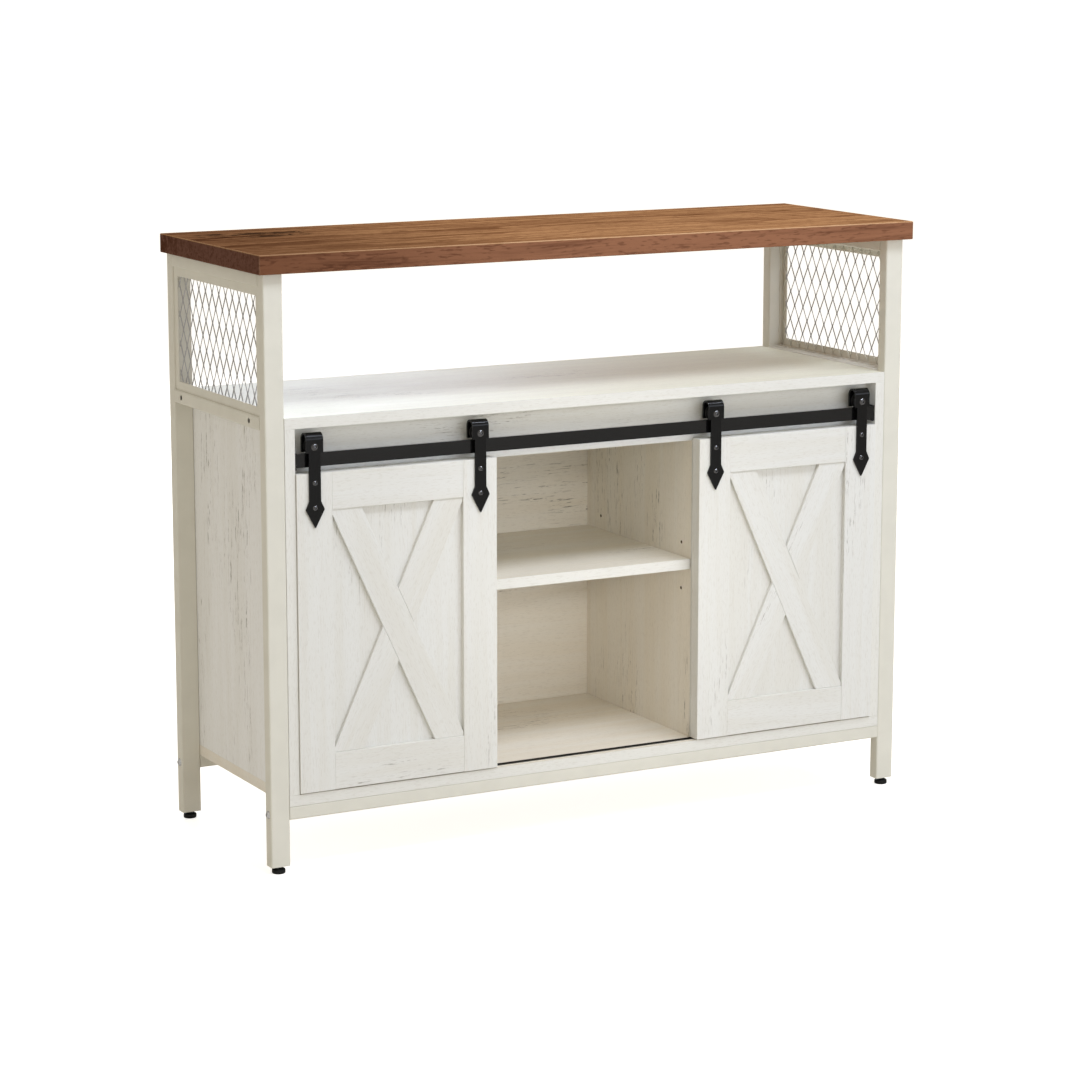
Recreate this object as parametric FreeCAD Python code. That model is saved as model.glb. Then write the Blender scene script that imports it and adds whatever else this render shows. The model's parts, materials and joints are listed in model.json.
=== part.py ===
import FreeCAD, Part
import math
import os

V = FreeCAD.Vector

# Sideboard buffet: two welded steel end frames carry a plank-look top, a deck and a three-bay
# cabinet. Two barn doors hang from rollers on one flat rail in front of the bays.
# Millimetres. X runs along the width, the doors face -Y, Z is up, and the floor is z = 0.

# ---------------------------------------------------------------- overall sizes
width = 1100.0
depth = 370.0
height = 900.0

# ---------------------------------------------------------------- top and boards
top_thickness = 28.0
top_edge_radius = 1.5
top_end_overhang = 10.0
top_front_overhang = 12.5
board = 16.0
back_thickness = 5.0
back_inset = 1.0

# ---------------------------------------------------------------- steel frame
leg_width = 30.0
leg_depth = 20.0
rail_height = 20.0
tube_wall = 1.2
tube_radius = 2.5
foot_height = 11.0
bottom_rail_z = 79.0
mid_rail_drop = 2.0
rail_end_plate = 3.0

# ---------------------------------------------------------------- mesh ends
mesh_recess = 3.0
angle_face = 13.0
angle_return = 7.0
angle_thickness = 1.5
mesh_thickness = 1.5
mesh_edge_gap = 0.5
mesh_selvage = 5.0
diamond_long = 44.0
diamond_short = 25.0
strand_width = 2.2

# ---------------------------------------------------------------- cabinet
deck_top_z = 666.0
centre_bay = 353.0
bay_front_inset = 24.0
header_height = 70.0
shelf_top_z = 396.0
shelf_end_gap = 0.5
shelf_front_inset = 1.0
pin_radius = 2.5
pin_depth = 7.5
pin_reach = 8.0
pin_notch_depth = 4.0
pin_notch_gap = 0.2
pin_pitch = 36.0
pin_front_inset = 30.0
pin_rear_inset = 45.0

# ---------------------------------------------------------------- doors
door_height = 468.0
door_bottom_gap = 2.0
door_side_gap = 0.5
door_lap = 3.0
door_proud = 3.0
door_core = 13.0
door_trim = 8.0
brace_trim = 6.0
trim_width = 55.0
brace_width = 45.0
brace_corner_shift = 2.5

# ---------------------------------------------------------------- door rail and hangers
track_height = 20.0
track_thickness = 4.0
track_above_door = 8.5
track_plate = 3.0
track_plate_drop = 3.5
track_plate_rise = 1.0
track_plate_depth = 20.0
strap_thickness = 3.0
hanger_width = 26.5
strap_width = 18.0
hanger_inner_depth = 14.0
hanger_skirt = 8.5
hanger_crown = 10.0
hanger_edge_inset = 27.5
arrow_width = 29.0
arrow_shoulder = 40.5
arrow_widest = 52.5
arrow_tip = 79.5
strap_screw_drops = (14.0, 50.0)
axle_radius = 2.5
axle_gap = 0.05
axle_head_radius = 5.5
axle_head_rise = 2.6
axle_rear_rise = 1.8
wheel_root_radius = 9.2
wheel_ride_gap = 0.3
wheel_flange = 2.3
wheel_side_gap = 0.5
wheel_groove_gap = 0.5
wheel_groove_flare = 0.6
wheel_rim_chamfer = 0.5

# ---------------------------------------------------------------- floor guide
guide_front = 11.0
guide_depth = 9.0
guide_floor = 1.0
fin_thickness = 2.0
fin_gap = 0.6
fin_width = 30.0
fin_drop = 6.0
fin_rise = 24.0
fin_edge_inset = 45.0

# ---------------------------------------------------------------- fasteners and feet
bolt_radius = 3.0
bolt_hole_gap = 0.25
bolt_head_radius = 6.25
bolt_head_rise = 3.6
bolt_bite = 9.0
screw_radius = 2.0
screw_head_radius = 3.5
screw_head_rise = 2.0
screw_bite = 13.0
access_hole_radius = 4.0
deck_screw_front = 37.0
deck_screw_rear = 26.0
top_screw_inset = 60.0
rail_screw_pitch = 350.0
strap_screw_head_radius = 4.0
strap_screw_head_rise = 2.2
strap_screw_bite = 14.0
track_screw_bite = 12.0
dowel_radius = 4.0
dowel_in_board = 10.0
dowel_in_panel = 20.0
dowel_inset = 50.0
plug_height = 18.0
stud_radius = 4.0
stud_gap = 0.05
stud_length = 21.0
foot_radius = 10.0
foot_toe = 1.5
foot_toe_rise = 2.0
foot_shoulder = 3.5
foot_shoulder_drop = 4.5
foot_neck = 2.0
foot_gap = 0.3

# ---------------------------------------------------------------- modelling aids
parallel = 0.9
cut_overrun = 1.0
brace_rounds = 20

# ---------------------------------------------------------------- places that follow
front = -depth / 2 + top_front_overhang
back = depth / 2
frame_end = width / 2 - top_end_overhang
inner_end = frame_end - leg_width
bay_end = inner_end - board
leg_top = height - top_thickness
board_z = bottom_rail_z + rail_height
floor_z = board_z + board
deck_z = deck_top_z - board
mid_rail_z = deck_z - mid_rail_drop
bay_front = front + bay_front_inset
back_face = back - back_inset - back_thickness
partition_in = centre_bay / 2
partition_out = partition_in + board
header_z = deck_z - header_height
shelf_z = shelf_top_z - board
pin_z = shelf_z + pin_notch_depth - pin_radius
pin_rows = (-pin_pitch, 0.0, pin_pitch)
pin_ys = (bay_front + pin_front_inset, back_face - pin_rear_inset)
dowel_ys = (bay_front + dowel_inset, back_face - dowel_inset)
leg_ys = (front, back - leg_depth)

door_left_x = -bay_end + door_side_gap
door_width = bay_end - partition_in + door_lap - door_side_gap
door_z = floor_z + door_bottom_gap
door_top = door_z + door_height
door_face = front - door_proud
door_rear = door_face + door_trim + door_core
strap_face = door_face - strap_thickness
wheel_y = door_face + hanger_inner_depth / 2
hanger_rear = door_face + hanger_inner_depth + strap_thickness
track_front = wheel_y - track_thickness / 2
track_z = door_top + track_above_door
track_top = track_z + track_height
axle_z = track_top + wheel_ride_gap + wheel_root_radius
bend_radius = hanger_inner_depth / 2
hanger_xs = (door_left_x + hanger_edge_inset, door_left_x + door_width - hanger_edge_inset)
fin_xs = (door_left_x + fin_edge_inset, door_left_x + door_width - fin_edge_inset)
slot_front = door_rear - fin_gap
slot_rear = door_rear + fin_thickness + fin_gap
bolt_z = bottom_rail_z + rail_height / 2

X = V(1, 0, 0)
Y = V(0, 1, 0)
Z = V(0, 0, 1)


# ---------------------------------------------------------------- shared shapes
def box(x, y, z):
    """A block between a low and a high value along each axis."""
    size = (x[1] - x[0], y[1] - y[0], z[1] - z[0])
    return Part.makeBox(size[0], size[1], size[2], V(x[0], y[0], z[0]))


def rod(radius, start, direction, length):
    """A cylinder that starts at a point and runs along a direction."""
    return Part.makeCylinder(radius, length, start, direction)


def inset(span, amount):
    """The same span with both ends moved inwards."""
    return (span[0] + amount, span[1] - amount)


def rounded_bar(x, y, z, along, radius):
    """A block whose four long edges are rounded."""
    bar = box(x, y, z)
    long_edges = [edge for edge in bar.Edges
                  if abs(edge.tangentAt(edge.FirstParameter).dot(along)) > parallel]
    return bar.makeFillet(radius, long_edges)


def tube(x, y, z, along):
    """Rectangular steel tube with the frame's wall and corner radius."""
    outer = rounded_bar(x, y, z, along, tube_radius)
    hollow = [span if along.dot(axis) > parallel else inset(span, tube_wall)
              for span, axis in ((x, X), (y, Y), (z, Z))]
    return outer.cut(rounded_bar(*hollow, along, tube_radius - tube_wall))


def dome(radius, rise, base, direction):
    """A shallow round head with its flat side on the base point."""
    ball = (radius ** 2 + rise ** 2) / (2 * rise)
    latitude = math.degrees(math.asin((ball - rise) / ball))
    centre = base - direction * (ball - rise)
    return Part.makeSphere(ball, centre, direction, latitude, 90, 360)


def screw(head_radius, head_rise, radius, length, seat, outward):
    """A dome-headed screw: the head stands outward of its seat, the shank runs the other way."""
    head = dome(head_radius, head_rise, seat, outward)
    return head.fuse(rod(radius, seat, outward * -1, length)).removeSplitter()


def mirrored(shape):
    """The same shape on the other side of the sideboard's middle plane."""
    return shape.mirror(V(0, 0, 0), X)


def both_sides(shapes):
    """A list of shapes together with their mirror images."""
    return shapes + [mirrored(shape) for shape in shapes]


def prism_xz(points, y0, y1):
    """An outline drawn in the XZ plane, extruded from y0 to y1."""
    corners = [V(x, y0, z) for x, z in points]
    outline = Part.makePolygon(corners + corners[:1])
    return Part.Face(outline).extrude(V(0, y1 - y0, 0))


def cut_all(shape, tools):
    """The shape with every tool cut out of it."""
    return shape.cut(Part.makeCompound(tools)).removeSplitter()


# ---------------------------------------------------------------- fastener places
def frame_bolt_seats():
    """Seats of the bolts that pull the right-hand legs onto the bottom rails."""
    return [V(frame_end, y + leg_depth / 2, bolt_z) for y in leg_ys]


def deck_screw_seats():
    """Seats inside the right-hand middle rail, for the screws into the deck's end."""
    ys = (front + leg_depth + deck_screw_front, back - leg_depth - deck_screw_rear)
    return [V(inner_end + tube_wall, y, mid_rail_z + rail_height / 2) for y in ys]


def top_screw_seats():
    """Seats inside the right-hand top rail, for the screws up into the top."""
    ys = (front + leg_depth + top_screw_inset, back - leg_depth - top_screw_inset)
    return [V(frame_end - leg_width / 2, y, leg_top - tube_wall) for y in ys]


def bottom_screw_seats(leg_y):
    """Seats inside one bottom rail, for the screws up into the bottom board."""
    y = leg_y + guide_front / 2 if leg_y == front else leg_y + leg_depth / 2
    return [V(i * rail_screw_pitch, y, board_z - tube_wall) for i in (-1, 0, 1)]


def frame_screw(seat, outward):
    """One of the identical wood screws that fix the boards to the steel frame."""
    length = tube_wall + screw_bite
    return screw(screw_head_radius, screw_head_rise, screw_radius, length, seat, outward)


def track_screw_seat():
    """Seat of the screw that fixes the right-hand end of the door rail to the side panel."""
    return V(bay_end - track_plate, track_front + track_plate_depth / 2, track_z + track_height / 2)


def dowels():
    """Dowels of the right-hand side panel and partition, into the bottom board and the deck."""
    length = dowel_in_board + dowel_in_panel
    pins = []
    for x in (bay_end + board / 2, partition_in + board / 2):
        for y in dowel_ys:
            pins.append(rod(dowel_radius, V(x, y, floor_z - dowel_in_board), Z, length))
            pins.append(rod(dowel_radius, V(x, y, deck_z - dowel_in_panel), Z, length))
    return both_sides(pins)


def shelf_pin(x, y, z, outward):
    """A support pin half let into a panel face, standing outward of it."""
    start = V(x, y, z) - outward * pin_depth
    return rod(pin_radius, start, outward, pin_depth + pin_reach)


def pin_faces():
    """Panel faces of the right half that carry pins: their x and the way the pins point."""
    return ((bay_end, X * -1), (partition_out, X), (partition_in, X * -1))


def pin_holes():
    """Blind pin holes of the right half, at every height a shelf can take."""
    holes = []
    for x, outward in pin_faces():
        for y in pin_ys:
            for row in pin_rows:
                holes.append(rod(pin_radius, V(x, y, pin_z + row), outward * -1, pin_depth))
    return holes


# ---------------------------------------------------------------- top and steel frame
def tabletop():
    slab = box((-width / 2, width / 2), (-depth / 2, depth / 2), (leg_top, height))
    slab = slab.makeFillet(top_edge_radius, slab.Edges)
    shanks = [rod(screw_radius, seat, Z, tube_wall + screw_bite) for seat in top_screw_seats()]
    return cut_all(slab, both_sides(shanks))


def leg(leg_y):
    """A right-hand leg: a tube with a bolt hole through both wide walls."""
    post = tube((inner_end, frame_end), (leg_y, leg_y + leg_depth), (foot_height, leg_top), Z)
    start = V(inner_end - cut_overrun, leg_y + leg_depth / 2, bolt_z)
    return post.cut(rod(bolt_radius + bolt_hole_gap, start, X, leg_width + 2 * cut_overrun))


def end_rail(rail_z):
    """A right-hand end rail between the front and the rear leg."""
    y = (front + leg_depth, back - leg_depth)
    return tube((inner_end, frame_end), y, (rail_z, rail_z + rail_height), Y)


def top_rail():
    rail = end_rail(leg_top - rail_height)
    access = [rod(access_hole_radius, seat, Z * -1, rail_height) for seat in top_screw_seats()]
    shanks = [rod(screw_radius, seat, Z, tube_wall) for seat in top_screw_seats()]
    return cut_all(rail, access + shanks)


def mid_rail():
    rail = end_rail(mid_rail_z)
    access = [rod(access_hole_radius, seat, X, leg_width) for seat in deck_screw_seats()]
    shanks = [rod(screw_radius, seat, X * -1, tube_wall) for seat in deck_screw_seats()]
    return cut_all(rail, access + shanks)


def bottom_rail(leg_y):
    """A bottom rail with a threaded plate welded into each end."""
    y = (leg_y, leg_y + leg_depth)
    z = (bottom_rail_z, board_z)
    rail = tube((-inner_end, inner_end), y, z, X)
    plate = rounded_bar((inner_end - rail_end_plate, inner_end), inset(y, tube_wall), inset(z, tube_wall),
                        X, tube_radius - tube_wall)
    rail = rail.fuse(both_sides([plate])).removeSplitter()
    thread_start = V(inner_end - rail_end_plate, leg_y + leg_depth / 2, bolt_z)
    thread = rod(bolt_radius, thread_start, X, rail_end_plate)
    seats = bottom_screw_seats(leg_y)
    access = [rod(access_hole_radius, seat, Z * -1, rail_height) for seat in seats]
    shanks = [rod(screw_radius, seat, Z, tube_wall) for seat in seats]
    return cut_all(rail, both_sides([thread]) + access + shanks)


def mesh_frame():
    """Right-hand ring of steel angle, welded between the legs and the end rails."""
    outer_x = frame_end - mesh_recess
    y = (front + leg_depth, back - leg_depth)
    z = (mid_rail_z + rail_height, leg_top - rail_height)
    ring = box((outer_x - angle_return, outer_x), y, z)
    pocket = box((outer_x - angle_return, outer_x - angle_thickness),
                 inset(y, angle_thickness), inset(z, angle_thickness))
    window = box((outer_x - angle_return, outer_x), inset(y, angle_face), inset(z, angle_face))
    return ring.cut(pocket).cut(window)


def clip(points, axis, limit, keep_low):
    """The part of a convex outline on one side of a line at the limit along an axis."""
    kept = []
    for i, here in enumerate(points):
        before = points[i - 1]
        here_in = here[axis] <= limit if keep_low else here[axis] >= limit
        before_in = before[axis] <= limit if keep_low else before[axis] >= limit
        if here_in != before_in:
            t = (limit - before[axis]) / (here[axis] - before[axis])
            kept.append(tuple(b + t * (h - b) for b, h in zip(before, here)))
        if here_in:
            kept.append(here)
    return kept


def diamond_holes(y, z):
    """Staggered diamond outlines that fill a window, cut off at its edges."""
    half_y = diamond_short / 2
    half_z = diamond_long / 2
    apothem = half_y * half_z / math.hypot(half_y, half_z)
    shrink = 1 - strand_width / 2 / apothem
    centre = ((y[0] + y[1]) / 2, (z[0] + z[1]) / 2)
    columns = int((y[1] - y[0]) / diamond_short) + 2
    rows = int((z[1] - z[0]) / diamond_long) + 2
    outlines = []
    for i in range(-columns, columns + 1):
        for j in range(-rows, rows + 1):
            if (i + j) % 2:
                continue
            cy = centre[0] + i * half_y
            cz = centre[1] + j * half_z
            shape = [(cy + shrink * half_y, cz), (cy, cz + shrink * half_z),
                     (cy - shrink * half_y, cz), (cy, cz - shrink * half_z)]
            for axis, span in ((0, y), (1, z)):
                shape = clip(shape, axis, span[1], True)
                shape = clip(shape, axis, span[0], False)
            if len(shape) >= 3 and outline_area(shape) > strand_width ** 2:
                outlines.append(shape)
    return outlines


def outline_area(points):
    """Area inside a flat outline."""
    pairs = zip(points, points[1:] + points[:1])
    return abs(sum(a[0] * b[1] - b[0] * a[1] for a, b in pairs)) / 2


def mesh_sheet():
    """Right-hand expanded-metal sheet, behind the face of its frame."""
    edge = angle_thickness + mesh_edge_gap
    x = frame_end - mesh_recess - angle_thickness - mesh_thickness
    y = inset((front + leg_depth, back - leg_depth), edge)
    z = inset((mid_rail_z + rail_height, leg_top - rail_height), edge)
    corners = [V(x, y[0], z[0]), V(x, y[1], z[0]), V(x, y[1], z[1]), V(x, y[0], z[1])]
    sheet = Part.Face(Part.makePolygon(corners + corners[:1])).extrude(X * mesh_thickness)
    cutters = []
    for outline in diamond_holes(inset(y, mesh_selvage), inset(z, mesh_selvage)):
        points = [V(x - cut_overrun, py, pz) for py, pz in outline]
        face = Part.Face(Part.makePolygon(points + points[:1]))
        cutters.append(face.extrude(X * (mesh_thickness + 2 * cut_overrun)))
    return sheet.cut(Part.makeCompound(cutters))


def leg_plug(leg_y):
    """A right-hand plastic plug with a thread for the levelling foot."""
    plug = rounded_bar(inset((inner_end, frame_end), tube_wall),
                       inset((leg_y, leg_y + leg_depth), tube_wall),
                       (foot_height, foot_height + plug_height), Z, tube_radius - tube_wall)
    x = (inner_end + frame_end) / 2
    bore = rod(stud_radius + stud_gap, V(x, leg_y + leg_depth / 2, foot_height), Z, plug_height)
    return plug.cut(bore)


def levelling_foot(leg_y):
    """A right-hand levelling foot: a tapered pad on a threaded stud."""
    pad_top = foot_height - foot_gap
    neck_radius = foot_radius - foot_shoulder
    profile = [(0, 0), (foot_radius - foot_toe, 0), (foot_radius, foot_toe_rise),
               (foot_radius, pad_top - foot_shoulder_drop), (neck_radius, pad_top - foot_neck),
               (neck_radius, pad_top), (stud_radius, pad_top),
               (stud_radius, pad_top + stud_length), (0, pad_top + stud_length)]
    points = [V(r, 0, z) for r, z in profile]
    foot = Part.Face(Part.makePolygon(points + points[:1])).revolve(V(0, 0, 0), Z, 360)
    return foot.translated(V((inner_end + frame_end) / 2, leg_y + leg_depth / 2, 0))


# ---------------------------------------------------------------- cabinet
def deck():
    """The fixed shelf that closes the cabinet and carries the open compartment."""
    shanks = [rod(screw_radius, V(inner_end, seat.y, seat.z), X * -1, screw_bite)
              for seat in deck_screw_seats()]
    panel = box((-inner_end, inner_end), (front, back), (deck_z, deck_top_z))
    return cut_all(panel, both_sides(shanks) + dowels())


def bottom_board():
    groove = box((-bay_end, bay_end), (front + guide_front, bay_front), (floor_z - guide_depth, floor_z))
    shanks = [rod(screw_radius, V(seat.x, seat.y, board_z), Z, screw_bite)
              for leg_y in leg_ys for seat in bottom_screw_seats(leg_y)]
    panel = box((-inner_end, inner_end), (front, back), (board_z, floor_z))
    return cut_all(panel, [groove] + shanks + dowels())


def side_panel():
    """Right-hand side panel, standing on the bottom board under the deck."""
    seat = track_screw_seat()
    pilot = rod(screw_radius, V(bay_end, seat.y, seat.z), X, track_screw_bite)
    panel = box((bay_end, inner_end), (front, back), (floor_z, deck_z))
    return cut_all(panel, pin_holes() + dowels() + [pilot])


def partition():
    """Right-hand partition, notched over the header board."""
    panel = box((partition_in, partition_out), (bay_front, back_face), (floor_z, deck_z))
    notch = box((partition_in, partition_out), (bay_front, bay_front + board), (header_z, deck_z))
    return cut_all(panel, pin_holes() + dowels() + [notch])


def back_panel():
    return box((-bay_end, bay_end), (back_face, back_face + back_thickness), (floor_z, deck_z))


def header_board():
    return box((-bay_end, bay_end), (bay_front, bay_front + board), (header_z, deck_z))


def shelf(low, high):
    """An adjustable shelf between two panel faces, notched under its ends for the pins."""
    x = inset((low, high), shelf_end_gap)
    panel = box(x, (bay_front + shelf_front_inset, back_face - shelf_front_inset), (shelf_z, shelf_top_z))
    reach = pin_reach + pin_notch_gap
    notches = []
    for y in pin_ys:
        span = (y - pin_radius - pin_notch_gap, y + pin_radius + pin_notch_gap)
        z = (shelf_z, shelf_z + pin_notch_depth)
        notches.append(box((low, low + reach), span, z))
        notches.append(box((high - reach, high), span, z))
    return cut_all(panel, notches)


def shelf_pins():
    """Four pins under each of the three shelves."""
    return both_sides([shelf_pin(x, y, pin_z, outward) for x, outward in pin_faces() for y in pin_ys])


def guide_channel():
    """Plastic strip let into the bottom board, with a slot that keeps the doors in line."""
    z = (floor_z - guide_depth, floor_z)
    strip = box((-bay_end, bay_end), (front + guide_front, bay_front), z)
    slot = box((-bay_end, bay_end), (slot_front, slot_rear), (z[0] + guide_floor, z[1]))
    return strip.cut(slot)


def door_rail():
    """Flat steel bar with a plate welded on each end, screwed to the side panels."""
    bar = box((-bay_end + track_plate, bay_end - track_plate),
              (track_front, track_front + track_thickness), (track_z, track_top))
    plate = box((bay_end - track_plate, bay_end), (track_front, track_front + track_plate_depth),
                (track_z - track_plate_drop, track_top + track_plate_rise))
    plate = plate.cut(rod(screw_radius, track_screw_seat(), X, track_plate))
    return bar.fuse(both_sides([plate])).removeSplitter()


def track_screw():
    """The screw through the right-hand end of the door rail."""
    length = track_plate + track_screw_bite
    return screw(screw_head_radius, screw_head_rise, screw_radius, length, track_screw_seat(), X * -1)


# ---------------------------------------------------------------- doors
def strap_screw_seats():
    """Seats on the left door's straps."""
    return [V(x, strap_face, door_top - drop) for x in hanger_xs for drop in strap_screw_drops]


def strap_screw_holes(start_y):
    """Holes of the left door's strap screws, from a plane inwards to their tips."""
    tip = strap_face + strap_thickness + strap_screw_bite
    return [rod(screw_radius, V(seat.x, start_y, seat.z), Y, tip - start_y)
            for seat in strap_screw_seats()]


def door_panel():
    """The left door's core board."""
    face = door_face + door_trim
    panel = box((door_left_x, door_left_x + door_width), (face, door_rear), (door_z, door_top))
    return cut_all(panel, strap_screw_holes(face))


def door_stiles():
    """The two upright boards on the left door's face, full height."""
    y = (door_face, door_face + door_trim)
    z = (door_z, door_top)
    right = door_left_x + door_width
    stiles = [box((door_left_x, door_left_x + trim_width), y, z),
              box((right - trim_width, right), y, z)]
    return [cut_all(stile, strap_screw_holes(door_face)) for stile in stiles]


def door_field_x():
    """The left door's clear width between its stiles."""
    return inset((door_left_x, door_left_x + door_width), trim_width)


def door_rails():
    """The level boards across the top and the bottom of the left door's face."""
    y = (door_face, door_face + door_trim)
    low = box(door_field_x(), y, (door_z, door_z + trim_width))
    high = box(door_field_x(), y, (door_top - trim_width, door_top))
    return [low, high]


def brace(falls_right):
    """A slanted board that fills the left door's field from corner to corner."""
    x = door_field_x()
    z = inset((door_z, door_top), trim_width)
    y = (door_face + door_trim - brace_trim, door_face + door_trim)
    run = x[1] - x[0]
    rise = z[1] - z[0]
    # The level width follows from the slope, and the slope from the level width: settle both.
    level = brace_width
    for _ in range(brace_rounds):
        level = brace_width / math.cos(math.atan((run - level + 2 * brace_corner_shift) / rise))
    top_x = x[0] + level / 2 - brace_corner_shift
    low_x = x[1] - level / 2 + brace_corner_shift
    if not falls_right:
        top_x, low_x = low_x, top_x
    spare = (low_x - top_x) / rise * trim_width
    top = (top_x - spare, z[1] + trim_width)
    low = (low_x + spare, z[0] - trim_width)
    corners = [(low[0] - level / 2, low[1]), (low[0] + level / 2, low[1]),
               (top[0] + level / 2, top[1]), (top[0] - level / 2, top[1])]
    return prism_xz(corners, y[0], y[1]).common(box(x, y, z))


def hanger(x):
    """A strap with an arrow end, bent over the wheel at the top."""
    half_strap = strap_width / 2
    half_wide = hanger_width / 2
    skirt_z = axle_z - hanger_skirt
    bend_z = axle_z + hanger_crown
    outline = [(x, door_top - arrow_tip), (x + arrow_width / 2, door_top - arrow_widest),
               (x + half_strap, door_top - arrow_shoulder), (x + half_strap, skirt_z),
               (x + half_wide, skirt_z), (x + half_wide, bend_z), (x - half_wide, bend_z),
               (x - half_wide, skirt_z), (x - half_strap, skirt_z),
               (x - half_strap, door_top - arrow_shoulder), (x - arrow_width / 2, door_top - arrow_widest)]
    front_leg = prism_xz(outline, strap_face, door_face)
    wide = (x - half_wide, x + half_wide)
    rear_leg = box(wide, (hanger_rear - strap_thickness, hanger_rear), (skirt_z, bend_z))
    start = V(wide[0], wheel_y, bend_z)
    bend = rod(bend_radius + strap_thickness, start, X, hanger_width)
    bend = bend.cut(rod(bend_radius, start, X, hanger_width))
    bend = bend.common(box(wide, (strap_face, hanger_rear), (bend_z, bend_z + hanger_width)))
    strap = front_leg.fuse([rear_leg, bend]).removeSplitter()
    axle_hole = rod(axle_radius, V(x, strap_face, axle_z), Y, hanger_rear - strap_face)
    holes = [rod(screw_radius, V(x, strap_face, door_top - drop), Y, strap_thickness)
             for drop in strap_screw_drops]
    return cut_all(strap, [axle_hole] + holes)


def axle(x):
    """An axle bolt with a domed head in front of the strap and its nut behind it."""
    shaft = rod(axle_radius, V(x, strap_face, axle_z), Y, hanger_rear - strap_face)
    head = dome(axle_head_radius, axle_head_rise, V(x, strap_face, axle_z), Y * -1)
    tail = rod(axle_head_radius, V(x, hanger_rear, axle_z), Y, axle_rear_rise)
    return shaft.fuse([head, tail]).removeSplitter()


def roller(x):
    """A grooved wheel that straddles the top edge of the door rail."""
    half = hanger_inner_depth / 2 - wheel_side_gap
    groove = track_thickness / 2 + wheel_groove_gap
    bore = axle_radius + axle_gap
    rim = wheel_root_radius + wheel_flange
    flare = groove + wheel_groove_flare
    shoulder = half - wheel_rim_chamfer
    tread = rim - wheel_rim_chamfer
    profile = [(bore, -half), (tread, -half), (rim, -shoulder), (rim, -flare), (wheel_root_radius, -groove),
               (wheel_root_radius, groove), (rim, flare), (rim, shoulder), (tread, half), (bore, half)]
    points = [V(r, y, 0) for r, y in profile]
    wheel = Part.Face(Part.makePolygon(points + points[:1])).revolve(V(0, 0, 0), Y, 360)
    return wheel.translated(V(x, wheel_y, axle_z))


def guide_fins():
    """Plastic blades on the left door's back that dip into the floor guide's slot."""
    y = (door_rear, door_rear + fin_thickness)
    z = (floor_z - fin_drop, door_z + fin_rise)
    return [box((x - fin_width / 2, x + fin_width / 2), y, z) for x in fin_xs]


def strap_screws():
    length = strap_thickness + strap_screw_bite
    return [screw(strap_screw_head_radius, strap_screw_head_rise, screw_radius, length, seat, Y * -1)
            for seat in strap_screw_seats()]


# ---------------------------------------------------------------- assembly
def frame_screws():
    """All the identical wood screws between the steel frame and the boards."""
    screws = [frame_screw(seat, X) for seat in deck_screw_seats()]
    screws += [frame_screw(seat, Z * -1) for seat in top_screw_seats()]
    screws = both_sides(screws)
    for leg_y in leg_ys:
        screws += [frame_screw(seat, Z * -1) for seat in bottom_screw_seats(leg_y)]
    return screws


def frame_bolts():
    length = leg_width + bolt_bite
    bolts = [screw(bolt_head_radius, bolt_head_rise, bolt_radius, length, seat, X)
             for seat in frame_bolt_seats()]
    return both_sides(bolts)


def cabinet_nodes():
    """Every piece that stays still, by node name."""
    nodes = {
        "tabletop": tabletop(),
        "front_bottom_rail": bottom_rail(leg_ys[0]),
        "rear_bottom_rail": bottom_rail(leg_ys[1]),
        "leg_plugs": both_sides([leg_plug(y) for y in leg_ys]),
        "deck": deck(),
        "bottom_board": bottom_board(),
        "back_panel": back_panel(),
        "header_board": header_board(),
        "shelf_left": shelf(-bay_end, -partition_out),
        "shelf_centre": shelf(-partition_in, partition_in),
        "shelf_right": shelf(partition_out, bay_end),
        "shelf_pins": shelf_pins(),
        "guide_channel": guide_channel(),
        "door_rail": door_rail(),
        "door_rail_screws": both_sides([track_screw()]),
        "frame_bolts": frame_bolts(),
        "frame_screws": frame_screws(),
        "panel_dowels": dowels(),
    }
    right_hand = {
        "leg_front": leg(leg_ys[0]),
        "leg_rear": leg(leg_ys[1]),
        "top_rail": top_rail(),
        "mid_rail": mid_rail(),
        "mesh_frame": mesh_frame(),
        "mesh": mesh_sheet(),
        "side_panel": side_panel(),
        "partition": partition(),
        "levelling_foot_front": levelling_foot(leg_ys[0]),
        "levelling_foot_rear": levelling_foot(leg_ys[1]),
    }
    for name, shape in right_hand.items():
        nodes[name + "_right"] = shape
        nodes[name + "_left"] = mirrored(shape)
    return nodes


def door_nodes():
    """Every piece of the two doors, by node name."""
    long_brace = brace(True)
    short_brace = brace(False).cut(long_brace)
    # Both doors carry the same X, so the braces are copied across and not mirrored.
    shift = V(-2 * door_left_x - door_width, 0, 0)
    mirrored_pieces = {
        "panel": [door_panel()],
        "stiles": door_stiles(),
        "rails": door_rails(),
        "hangers": [hanger(x) for x in hanger_xs],
        "axles": [axle(x) for x in hanger_xs],
        "strap_screws": strap_screws(),
        "guides": guide_fins(),
    }
    nodes = {"door_left_" + name: shapes for name, shapes in mirrored_pieces.items()}
    for name, shapes in mirrored_pieces.items():
        nodes["door_right_" + name] = [mirrored(shape) for shape in shapes]
    for name, shape in (("brace_long", long_brace), ("brace_short", short_brace)):
        nodes["door_left_" + name] = shape
        nodes["door_right_" + name] = shape.translated(shift)
    for place, x in zip(("outer", "inner"), hanger_xs):
        nodes["roller_left_" + place] = roller(x)
        nodes["roller_right_" + place] = roller(-x)
    return nodes


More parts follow.
